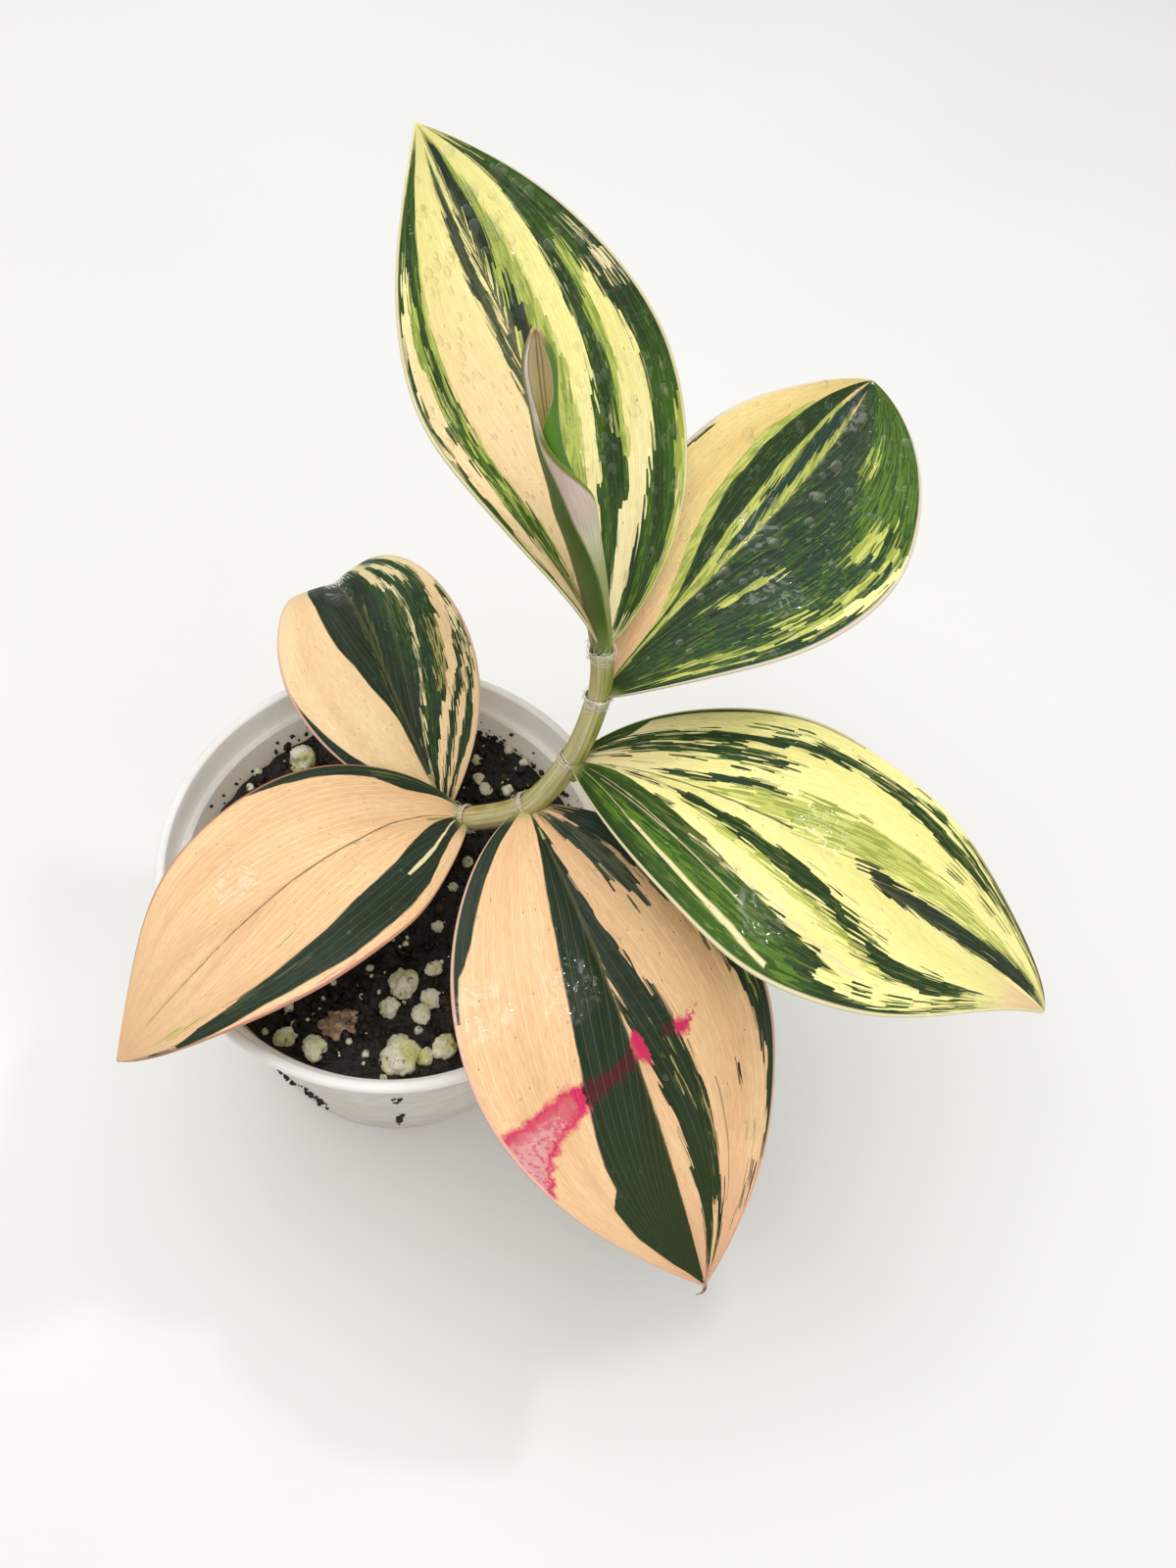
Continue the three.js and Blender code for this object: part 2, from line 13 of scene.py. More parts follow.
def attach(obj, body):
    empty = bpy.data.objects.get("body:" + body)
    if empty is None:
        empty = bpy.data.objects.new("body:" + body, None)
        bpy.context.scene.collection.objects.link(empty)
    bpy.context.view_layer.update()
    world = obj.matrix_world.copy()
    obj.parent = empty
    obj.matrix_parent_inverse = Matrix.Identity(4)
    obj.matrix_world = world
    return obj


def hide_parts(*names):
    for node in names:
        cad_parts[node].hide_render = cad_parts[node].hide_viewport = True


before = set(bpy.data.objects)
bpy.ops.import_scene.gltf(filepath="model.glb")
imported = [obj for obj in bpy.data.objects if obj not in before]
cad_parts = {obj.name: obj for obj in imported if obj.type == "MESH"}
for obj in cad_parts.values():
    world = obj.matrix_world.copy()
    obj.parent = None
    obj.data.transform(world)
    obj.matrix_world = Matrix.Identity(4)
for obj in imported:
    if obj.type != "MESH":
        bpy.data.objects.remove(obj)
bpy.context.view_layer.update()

MM = 0.001

# Stem line: foot in the soil, soil surface, six leaf nodes, then three points up the rolled leaf
FOOT = (-3.5, 10.4, 46.0)
AT_SOIL = (2.4, 11.5, 66.5)
ROLL_BEND = (19.8, 31.9, 150.0)
ROLL_NECK = (13.9, 34.1, 161.8)
ROLL_TIP = (9.1, 38.0, 178.0)

# Each leaf, lowest first. Heading, rise and tilt are degrees at base, middle and tip; half and full shape
# the outline; left and right are the wing's angle at the midrib and at its margin.
LEAVES = {
    "leaf_back_left": dict(
        node=(6.0, 12.8, 77.5), mouth=2.5, length=62, half=(19, 18.5), full=(0.94, 0.81),
        heading=(134, 133, 136), rise=(33, 24, 13), tilt=(2, -2, -2),
        left=(10, -16), right=(16, -2), curl=(97, 0.64), wave=(0.3, 2, 0.4)),
    "leaf_left": dict(
        node=(10.9, 10.6, 83.0), mouth=2.45, length=80, half=(22.5, 20), full=(0.75, 0.89),
        heading=(-155, -121, -120), rise=(23, 0, -32), tilt=(-2, 3, 16),
        left=(18, 4), right=(-7, 3), curl=(0, 0.5), wave=(0.5, 2.5, 0.2)),
    "leaf_front": dict(
        node=(21.7, 11.9, 92.0), mouth=2.5, length=95, half=(26.5, 29.5), full=(0.86, 0.99),
        heading=(-55, -52, -57), rise=(18, -20, -30), tilt=(2, 1, -6),
        left=(17, -1), right=(17, -2), curl=(0, 0.5), wave=(0.5, 3, 0.7)),
    "leaf_right": dict(
        node=(27.7, 17.5, 103.0), mouth=2.42, length=96, half=(23, 30.5), full=(0.86, 0.77),
        heading=(-6, -13, -32), rise=(26, -8, 5), tilt=(-2, 0, -25),
        left=(14, -1), right=(21, -1), curl=(0, 0.5), wave=(0.5, 3, 0.1)),
    "leaf_back_right": dict(
        node=(29.7, 23.7, 116.0), mouth=2.3, length=84, half=(20.5, 26.5), full=(0.84, 0.79),
        heading=(61, 62, 76), rise=(30, 9, 19), tilt=(-16, 7, 10),
        left=(20, 15), right=(20, 10), curl=(0, 0.5), wave=(0.5, 2.5, 0.6)),
    "leaf_back": dict(
        node=(28.4, 26.3, 126.0), mouth=2.15, length=89, half=(25.5, 24), full=(0.78, 0.93),
        heading=(118, 132, 145), rise=(31, 31, 38), tilt=(45, 2, -2),
        left=(23, 19), right=(20, 21), curl=(0, 0.5), wave=(0.3, 3, 0.3)),
}
PEACH_LEAVES = ("leaf_back_left", "leaf_left", "leaf_front")
BLADE_THICKNESS, RIB_THICKNESS, GROOVE_DEPTH, GROOVE_WIDTH, RIM_ROUND = 0.46, 0.45, 0.22, 0.9, 0.16
BLADE_STATIONS, BLADE_COLUMNS, MIDRIB_STEPS = 150, 71, 160
# The last v inside the margin, and how far the waves of the right wing run ahead, in turns
INNER_MARGIN, WING_PHASE = 0.985, 0.35
# The withered tip of the front leaf: millimetres ahead of the blade's end and towards its left margin
HOOK = [(-1.6, 0.0), (0.2, 0.0), (0.9, -0.7), (0.8, -2.0)]
HOOK_ROOT, HOOK_END = 0.42, 0.1

SHEATH_OVERLAP, SHEATH_SPREAD, SHEATH_FLARE = 3.0, 2.2, 1.8
SHEATH_WALL, SHEATH_RIDGE = 0.25, 0.05
MOUTH_CLEARANCE, MOUTH_FLARE = 0.2, 0.12
SHEATH_SIDES, SHEATH_RINGS = 56, 44
# The papery collar at a sheath's mouth, as shares of its height and millimetres off the mouth
COLLAR = ((-0.8, 0.01), (0.0, 0.07), (1.0, 0.04), (1.0, -0.05), (0.0, -0.04))
FIBRES, FIBRE_STEPS, FIBRE_RADIUS = 26, 9, 0.09
GAP = 0.3
HOLE_DEPTH = 9.0
CANE_FOOT, CANE_TOP = 1.6, 0.85
STALK_RADIUS, STALK_DROP, STALK_REACH = 1.15, 3.2, 9.0
TUBE_SIDES = 24

# The rolled leaf along its length: outer radius, degrees wound from its back to its outer and to its inner
# margin, the step of a full turn, and the degrees from its back at which the pale band begins
ROLL_RADIUS = [(0, 1.6), (0.05, 1.72), (0.1, 2.05), (0.2, 2.4), (0.3, 2.75), (0.42, 3.15), (0.5, 3.55),
               (0.54, 3.6), (0.61, 2.85), (0.67, 2.5), (0.75, 2.3), (0.8, 2.25), (0.85, 2.45), (0.91, 2.75),
               (0.95, 2.25), (0.98, 1.3), (1, 0.5)]
ROLL_OUTER_WRAP = [(0, 285), (0.45, 300), (0.54, 270), (0.605, 244), (0.647, 219), (0.692, 190),
                   (0.729, 165), (0.77, 152), (0.85, 136), (1, 125)]
ROLL_INNER_WRAP = [(0, 220), (0.6, 240), (0.72, 230), (0.765, 206), (0.8, 178), (0.845, 138), (1, 148)]
ROLL_STEP = [(0, 0.95), (0.68, 0.95), (0.82, 0.3), (1, 0.2)]
ROLL_BAND = [(0, 224), (0.3, 208), (0.38, 196), (0.435, 182), (0.5, 169), (0.585, 164), (0.64, 158),
             (0.7, 143), (0.77, 122), (1, 112)]
ROLL_BACK, ROLL_WALL, ROLL_CORE, ROLL_ROUNDING = 114, 0.4, 0.32, 0.014
ROLL_STATIONS, ROLL_COLUMNS = 150, 170

POT_PROFILE = [
    (0, 0), (33.2, 0), (33.7, 0.15), (34, 0.8), (42.2, 71.5), (42.7, 72.2), (43.5, 72.8), (43.9, 77.9),
    (44.2, 78.4), (45, 78.7), (45.0, 79.5), (44.9, 79.8), (44.6, 80), (43.5, 80), (43.2, 79.85),
    (43.1, 79.6), (42.7, 74), (42.3, 73.2), (41, 72.8), (40.85, 71.5), (32.8, 1.4), (0, 1.4)]
# The profile's long straight lines, by the number of their first point, are cut into steps
POT_LONG_LINES, POT_LONG_STEPS = (3, 19), 10
POT_WALL = [(34.0, 0.8), (42.2, 71.5), (43.5, 72.8), (43.9, 77.9)]
POT_INSIDE = [(32.8, 1.4), (40.85, 71.5)]
POT_SIDES = 160
DRAIN_HOLES, DRAIN_HOLE_RADIUS, DRAIN_RING_RADIUS = 8, 2.6, 26.0

SOIL_TOP, SOIL_BOTTOM, SOIL_RIM, SOIL_CLEARANCE = 66.5, 1.7, 39.8, 0.45
SOIL_ROUGHNESS, SOIL_CRUMBLE, SOIL_DIP = 1.1, 0.55, 1.6
SOIL_RINGS, SOIL_SPOKES = 110, 170
# Scattered pieces: how many, how far from the pot's axis and how clear of the stem
CRUMB_COUNT, CRUMB_REACH, CRUMB_CLEARANCE, CRUMB_LIMIT = 1300, 38.6, 4.6, 39.2
WALL_CRUMBS = 110
# Crumbs stuck outside below the lip: angle, its spread, lowest and highest, how many
OUTSIDE_CRUMBS = [(-109, 3, 28, 44, 16), (-102, 1.6, 10, 34, 14), (-73.4, 1, 50, 57, 7),
                  (-73.2, 0.6, 8, 30, 12)]
BIG_GRAINS = [
    (10.8, -33.4, 3.7), (7, -19.7, 3.0), (6, -25, 2.1), (13.1, -21.1, 2.4), (11.8, -15, 1.8),
    (18.3, -29.6, 2.3), (15.3, -32.5, 1.8), (-11, -35.5, 2.2), (-5.1, -36, 2.5), (-27.8, 21.9, 2.9),
    (9.9, -6.4, 1.3), (9, 28.2, 1.3), (15.5, 27.5, 1.3)]
# Small grains that show between the leaves
SMALL_GRAINS = [
    (-12.3, -29.5, 0.95), (-10.6, -32.2, 0.75), (-15.0, -35.1, 0.75), (12.3, -24.8, 1.9), (7.4, 32.6, 1.25),
    (11.0, 26.1, 1.6), (11.9, 9.1, 1.2), (0.4, -24.2, 0.75), (-0.2, -18.0, 0.75), (4.4, -34.7, 0.75),
    (9.0, -38.0, 0.7), (12.6, -27.7, 0.9), (0.7, -33.2, 0.7), (-5.9, -22.7, 0.75), (5.0, -11.3, 0.75),
    (10.7, 2.4, 1.0), (13.2, 37.0, 1.1), (17.2, 35.0, 1.0), (8.8, 14.6, 1.1), (-4.0, -34.1, 0.75),
    (-36.0, 12.8, 1.0), (-35.7, 16.5, 1.0)]
PERLITE_COUNT, PERLITE_REACH, PERLITE_CLEARANCE, PERLITE_GAP, PERLITE_SEED = 24, 37, 7, 0.6, 17
GRIT_COUNT, GRIT_REACH, GRIT_CLEARANCE = 170, 38, 5.5
BARK_PLACE, BARK_HALF_SIZE = (-2.0, -30.5), (3.4, 2.4, 1.5)

# Drops on a blade: how many, and the smallest and largest radius
DROPS = {"leaf_back": (230, 0.35, 1.05), "leaf_back_right": (120, 0.3, 1.25), "leaf_right": (26, 0.3, 0.8),
         "leaf_left": (12, 0.3, 0.7), "leaf_front": (14, 0.3, 0.8), "leaf_back_left": (6, 0.3, 0.6)}
DROP_SIDES, DROP_LEVELS = 18, 5
SEEDS = {"sheath": 40, "soil": 3, "perlite": 8, "drops": 12}

# Camera at the photograph's viewing angle, and the studio in metres
CAMERA_PLACE = (31.9, -91.6, 289.0)
CAMERA_PITCH, CAMERA_ROLL = math.radians(60.5), math.radians(14.8)
CAMERA_LENS, CAMERA_SENSOR = 27.0, 36.0
FLOOR_HALF, FLOOR_LINES = 3.0, 9
# Square lamps: place, target, size and watts
LAMPS = {"softbox": ((-0.25, 0.1, 1.15), (0.02, 0.0, 0.08), 1.1, 10.5),
         "fill": ((0.9, -0.6, 0.7), (0.02, 0.0, 0.08), 0.8, 3.0),
         "glint": ((0.35, 0.4, 0.95), (0.02, 0.0, 0.1), 0.06, 1.4)}
SKY_COLOUR, SKY_STRENGTH = (1.0, 0.985, 0.96, 1.0), 0.45

# Colours, as sRGB
COLOURS = {
    "peach": (240, 200, 152), "peach_deep": (228, 182, 136), "peach_vein": (252, 226, 176),
    "blush": (232, 184, 146), "blush_deep": (222, 168, 132), "blush_vein": (246, 212, 172),
    "gold": (238, 214, 142), "gold_deep": (228, 196, 126), "gold_vein": (250, 232, 170),
    "yellow": (246, 238, 160), "yellow_deep": (236, 226, 140), "yellow_vein": (252, 247, 190),
    "cream": (240, 228, 176), "cream_deep": (228, 208, 152), "cream_vein": (250, 242, 204),
    "ivory": (250, 220, 172), "ivory_deep": (240, 204, 154), "ivory_vein": (254, 236, 192),
    # teal is dark green with a painted bluish sheen of sky reflection in it
    "dark": (40, 54, 42), "dark_deep": (28, 42, 18), "dark_green": (38, 54, 16), "teal": (36, 62, 50),
    "green": (56, 90, 20), "green_deep": (32, 56, 20), "bright": (84, 118, 32), "fleck": (114, 132, 54),
    "lime": (198, 202, 106), "lime_deep": (152, 162, 70), "sap": (178, 188, 92), "sap_deep": (136, 154, 62),
    "olive": (88, 100, 46), "grey_green": (76, 86, 60), "khaki": (162, 152, 88), "brown": (100, 72, 46),
    "black": (28, 18, 14), "rose": (222, 156, 140), "magenta": (206, 44, 92), "scar": (206, 100, 108),
    "maroon": (76, 30, 36), "pale_scar": (216, 152, 152), "white": (226, 226, 212), "stem": (168, 172, 104),
    "midrib": (160, 146, 84), "underside": (186, 182, 146), "brown_margin": (172, 118, 96),
    "pink_margin": (230, 184, 164), "cream_margin": (232, 220, 176), "white_margin": (226, 212, 188),
}
PALE_COLOURS = ("peach", "blush", "gold", "yellow", "cream", "ivory")

# A blade's ground: for its left wing and its right, the colour near its base, the one near its tip, and
# where along the blade the first gives way to the second
BASE = {
    "leaf_back_left": (("ivory", "ivory", 0, 1), ("cream", "cream", 0, 1)),
    "leaf_left": (("peach", "peach", 0, 1), ("peach", "peach", 0, 1)),
    "leaf_front": (("peach", "blush", 0.72, 1), ("peach", "blush", 0.85, 1)),
    "leaf_right": (("cream", "yellow", 0.02, 0.3), ("cream", "yellow", 0.02, 0.25)),
    "leaf_back_right": (("peach", "gold", 0.05, 0.5), ("gold", "yellow", 0.1, 0.5)),
    "leaf_back": (("ivory", "yellow", 0.35, 0.95), ("cream", "yellow", 0.15, 0.6)),
}
# The colour and the width of each margin, as a share of the half blade
MARGIN = {
    "leaf_back_left": ("pink_margin", 0.03), "leaf_left": ("brown_margin", 0.02),
    "leaf_front": ("pink_margin", 0.022), "leaf_right": ("cream_margin", 0.025),
    "leaf_back_right": ("white_margin", 0.03), "leaf_back": ("cream_margin", 0.02),
}
# How strong the pale veins are, from where they are weakest to where they are strongest
VEIN_SHARES = {"leaf_left": (0.5, 1.0)}
PLAIN_VEIN_SHARES = (0.2, 0.6)
# Where along a blade its dark bands turn greener
GREENER = {"leaf_front": (0.45, 0.8)}
# How wet each blade is, and the u and v of the patches where it is wettest
WETNESS = {"leaf_back_left": 0.06, "leaf_left": 0.05, "leaf_front": 0.06, "leaf_right": 0.06,
           "leaf_back_right": 0.12, "leaf_back": 0.15}
WET_PATCHES = {
    "leaf_back_left": [(0.8, 0.1)], "leaf_left": [(0.56, -0.36)],
    "leaf_front": [(0.39, -0.27), (0.37, -0.83)], "leaf_right": [(0.44, -0.61), (0.49, 0.14)],
    "leaf_back_right": [(0.51, 0.04), (0.9, -0.01), (0.4, -0.45)], "leaf_back": [(0.49, 0.91)],
}
# How far each kind of edge strays sideways and lengthways, by wandering and block by block
STRAY = {"clean": (0.02, 0.0, 0.006, 0.0), "ragged": (0.05, 0.04, 0.04, 0.03), "torn": (0.08, 0.1, 0.1, 0.06)}
# The torn marks break up along veins into blocks: how many across half a blade and along it
BLOCKS_ACROSS, BLOCKS_ALONG = 42, 26
FLECKS_ACROSS, FLECKS_ALONG = 80, 60
VEIN_COUNT, RIDGE_COUNT, VEIN_SLANT = 11, 36, 0.6
# Keeps the signed vein number positive, so that the two wings draw on different noise
WING_SHIFT = 2.0
# v is kept in stripe ramps as a share between 0 and 1
EDGE_SCALE, EDGE_MIDDLE, EDGE_SOFTNESS = 0.4, 0.5, 0.006
STOP_GAP = 0.004
# Most of a noise's values lie in the first range, and the second cuts it into clear patches
NOISE_SPREAD, PATCHES = (0.3, 0.7), (0.35, 0.65)
# Each sheath is painted paler along this turn, the side towards the camera and the softbox: a painted
# highlight
HIGHLIGHT_TURN = math.radians(236)

# Marks on each blade, later ones over earlier ones and ";" between two. A mark is a colour, an edge and rows
# of u, lower v, upper v and, if it isn't 1, the density: u runs from base to tip and v from the right
# margin, -1, to the left, 1. The rows of a scar swap u and v.
MARKS = {
    "leaf_front": """
dark clean .02 -.04 .04, .1 -.12 .05, .2 -.2 .05, .3 -.25 .02, .4 -.3 0, .5 -.36 0, .6 -.44 0, .7 -.54 0,
.745 -.57 0, .775 -.7 0, .85 -.75 0, .93 -.73 0, .99 -.6 0;
dark ragged .06 -.02 .06, .2 -.02 .09, .3 -.02 .13, .4 -.01 .2, .44 .02 .28, .5 .05 .31, .6 .09 .37,
.65 .12 .42, .7 .14 .43, .8 .19 .48, .85 .22 .55, .9 .27 .6, .97 .3 .6;
khaki torn .2 -.01 .08 .1, .42 .08 .26 .16, .55 .18 .36 .3, .65 .26 .41 .3, .8 .34 .48 .26, .93 .4 .58 .3;
peach ragged .86 .4 .5, .96 .45 .55;
grey_green ragged .03 .15 .36, .08 .26 .52, .15 .32 .58, .22 .37 .57 .9, .27 .42 .5 .7;
dark torn .03 .2 .4 .5, .12 .3 .6 .5, .24 .38 .56 .4;
dark ragged .03 .6 1.2, .1 .55 1.2, .2 .6 1.2, .3 .65 1.2, .4 .75 1.2, .48 .8 1.2, .55 .86 1.2, .63 .91 1.2,
.7 .945 1.2, .8 .97 1.2, .88 .985 1.2;
lime torn .2 .7 1 .25, .5 .86 1 .3;
khaki torn .68 .76 .84 .3, .79 .77 .86 .35;
dark torn .79 .84 .92 .5, .86 .84 .92 .6;
brown ragged .985 -1.2 1.2;
rose clean .8 .975 1.2, .9 .96 1.2, .985 .93 1.2;
brown clean .63 .5 .508, .74 .56 .568, .85 .6 .608;
black ragged .648 .68 .72, .66 .68 .74, .672 .71 .74;
dark clean .02 -1.2 -.6, .08 -1.2 -.74, .15 -1.2 -.8, .25 -1.2 -.86, .28 -1.2 -.9, .3 -1.2 -.95,
.37 -1.2 -.97;
magenta scar -1.1 .575 .73, -.95 .573 .7, -.84 .567 .657, -.72 .558 .632, -.61 .55 .615, -.5 .542 .6,
-.415 .545 .588;
scar scar -1.1 .59 .705, -.95 .587 .675, -.84 .58 .64, -.72 .571 .616, -.61 .563 .6, -.5 .556 .587;
pale_scar scar -1 .6 .7 .55, -.8 .59 .63 .55, -.6 .57 .6 .45;
maroon scar -.42 .546 .588, -.3 .548 .58, -.1 .535 .566, .03 .52 .552;
magenta scar -.01 .525 .545, .03 .5 .556, .06 .5 .562, .085 .53 .566;
maroon scar .22 .512 .53 .5, .3 .508 .53 .6;
magenta scar .31 .508 .532, .36 .506 .538, .4 .508 .53, .44 .5 .512 .5, .54 .488 .498 .35""",
    "leaf_left": """
dark clean .02 -.1 .5, .05 -.02 .55, .1 .12 .7, .15 .25 .8, .2 .35 .87, .25 .43 .88, .3 .47 .89, .4 .53 .905,
.5 .6 .92, .6 .63 .9, .7 .68 .9, .75 .72 .93, .8 .76 .97, .82 .78 .98, .87 .9 .99;
dark torn .84 .92 1.2 .6, .95 .9 1.2 .6;
cream clean .04 .12 .18, .08 .37 .43, .13 .52 .58, .18 .57 .63, .24 .61 .64;
grey_green torn .56 .68 .74 .4, .75 .74 .8 .5;
rose ragged .4 .975 1.2, .6 .965 1.2, .8 .98 1.2;
lime torn .17 .05 .1 .3, .34 .18 .25 .3;
lime torn .4 .33 .36 .35, .57 .39 .42 .35;
lime torn .78 .6 .66 .5, .93 .63 .7 .5;
brown clean .05 -.09 -.075, .1 -.09 -.075, .2 -.06 -.045, .3 -.008 .008, .5 .013 .027, .75 .033 .045,
.9 .025 .035;
dark clean .02 -1.2 -.75, .1 -1.2 -.63, .13 -1.2 -.63, .18 -1.2 -.8, .25 -1.2 -.86, .33 -1.2 -.9,
.4 -1.2 -.96, .43 -1.2 -1;
olive torn .03 -1.2 -.85 .5, .13 -1.2 -.8 .5, .22 -1.2 -.93 .5""",
    "leaf_right": """
green clean .015 .5 1.2, .05 .6 1.2, .1 .72 1.2, .13 .93 1.2, .32 .96 1.2, .5 .975 1.2;
green torn .03 .45 .62 .7, .1 .6 .72 .6, .24 .62 .72 .6;
green torn .28 .76 .83 .5, .46 .78 .86 .5;
green_deep ragged .05 .42 .5, .12 .55 .62, .2 .58 .66, .3 .62 .7, .4 .68 .77, .5 .75 .81, .55 .76 .82,
.62 .72 .82, .7 .68 .81, .75 .7 .81, .83 .74 .81;
olive torn .48 .8 .85 .7, .6 .8 .87 .7, .84 .8 .86 .6;
green torn .08 .4 .5 .7, .14 .38 .56 .75, .25 .38 .58 .7, .33 .4 .58 .7, .39 .46 .55 .6;
lime torn .18 .04 .09 .6, .3 .05 .12 .7, .4 .05 .25 .85, .45 .05 .36 .9, .6 .1 .4 .85, .7 .18 .42 .8,
.86 .25 .45 .6, .93 .3 .6 .6, .98 .35 .8 .5;
green_deep ragged .03 .3 .34, .08 .27 .31, .15 .14 .17, .2 .1 .15, .25 .12 .19, .3 .17 .24, .35 .22 .31,
.4 .25 .29;
green_deep clean .08 .034 .046, .3 .032 .046, .44 .03 .05;
dark ragged .585 .06 .12, .62 0 .125, .65 -.05 .12, .7 -.05 .12, .75 -.02 .16, .8 0 .2, .85 .03 .27 .9,
.9 .07 .36 .85, .95 .12 .5 .8, .99 .15 .6 .75;
green torn .7 .52 .62 .45, .84 .58 .68 .5;
green torn .6 .86 .95 .45, .8 .86 .96 .5, .92 .8 .96 .6, .98 .75 .95 .5;
green_deep ragged .1 -.06 -.02 .8, .15 -.08 -.02 .8, .2 -.1 -.04 .7, .3 -.2 -.1 .9, .4 -.28 -.15, .5 -.36 -.2,
.55 -.4 -.27, .59 -.46 -.36, .65 -.6 -.46, .7 -.7 -.54 .9, .8 -.78 -.6 .8, .86 -.8 -.64 .7;
lime ragged .22 -.2 -.15 .5, .4 -.36 -.3 .7, .55 -.5 -.44 .8, .7 -.76 -.7 .6;
green clean .01 -1.2 0, .05 -1.2 -.02, .1 -1.2 -.1, .15 -1.2 -.2, .2 -1.2 -.28, .3 -1.2 -.42, .4 -1.2 -.55,
.5 -1.2 -.65, .6 -1.2 -.78, .7 -1.2 -.93, .8 -1.2 -.98;
bright ragged .08 -.8 -.5 .6, .25 -.8 -.55 .8, .42 -.9 -.7 .8, .55 -.95 -.85 .8;
olive torn .1 -.3 -.14 .3, .2 -.42 -.3 .45, .3 -.55 -.45 .5, .4 -.68 -.58 .5, .52 -.8 -.7 .5;
cream clean .04 -.5 -.49, .16 -.7 -.69, .17 -.72 -.68, .22 -.77 -.73, .3 -.825 -.78, .4 -.875 -.83,
.48 -.94 -.91;
cream clean .05 -.3 -.292, .25 -.55 -.542;
cream clean .08 -.42 -.412, .4 -.68 -.672;
cream ragged .3 -.47 -.445 .7, .5 -.63 -.6 .7, .65 -.8 -.76 .7;
yellow ragged .56 -.86 -.78, .7 -.94 -.84, .86 -.97 -.86;
green torn .62 -.97 -.84 .45, .8 -.97 -.84 .5, .96 -.98 -.8 .6;
olive torn .3 -.2 -.1 .3, .5 -.37 -.2 .45, .7 -.68 -.5 .35, .86 -.8 -.64 .4;
olive torn .6 .02 .12 .25, .75 -.02 .16 .35, .9 .2 .4 .4;
ivory torn .86 -.9 -.05 .3, .94 -1 .05 .6, 1 -1 .12 .9;
maroon ragged .72 .975 1.2, .9 .95 1.2, 1 .9 1.2""",
    "leaf_back": """
green ragged .03 .9 1.2, .2 .94 1.2, .9 .96 1.2;
sap ragged .08 .66 .7, .15 .5 .71, .2 .45 .72, .25 .5 .76, .3 .58 .79, .4 .65 .8, .5 .67 .82, .6 .7 .86,
.7 .72 .88, .82 .74 .88;
green torn .1 .5 .7 .6, .25 .55 .78 .6, .4 .68 .82 .6, .52 .72 .82 .6;
green ragged .52 .74 .78 .8, .7 .77 .83 .8, .78 .76 .95 .85, .97 .75 .97 .85;
grey_green ragged .42 .06 .09 .7, .55 .07 .13 .8, .65 .08 .17 .9, .72 .1 .24, .8 .12 .27, .88 .15 .28,
.94 .2 .28 .8;
dark torn .6 .1 .18 .4, .75 .12 .26 .5, .92 .16 .28 .4;
sap ragged .2 -.1 -.02, .35 -.2 -.03, .5 -.27 -.04, .7 -.3 -.05, .85 -.32 -.05, .97 -.3 -.05;
grey_green torn .25 -.02 .02 .6, .5 -.03 .05 .75, .98 -.04 .07 .8;
dark ragged .73 -.12 -.06, .78 -.17 -.05, .9 -.2 -.05, .98 -.27 -.05;
dark ragged .585 -.14 -.06, .63 -.17 -.05, .69 -.14 -.06;
green ragged .04 -.2 -.1, .1 -.28 -.16, .2 -.36 -.2, .3 -.5 -.25 .9, .4 -.53 -.33 .85, .5 -.6 -.43 .85,
.6 -.6 -.47 .8, .7 -.68 -.5 .8, .8 -.85 -.6 .85, .9 -.85 -.7 .85, .97 -.8 -.7 .8;
green ragged .03 -.9 -.45, .1 -.9 -.5, .2 -.9 -.58, .3 -.9 -.68, .4 -.97 -.77, .5 -1.2 -.8, .6 -1.2 -.76,
.7 -1.2 -.72, .8 -1.2 -.8, .96 -1.2 -.85;
sap ragged .36 -.54 -.48, .5 -.62 -.55, .6 -.66 -.58, .72 -.74 -.66;
cream torn .64 -.95 -.85 .6, .71 -.95 -.85 .6;
lime torn .03 -1.2 -.9 .8, .3 -1.2 -.92 .8, .45 -1.2 -.97 .7""",
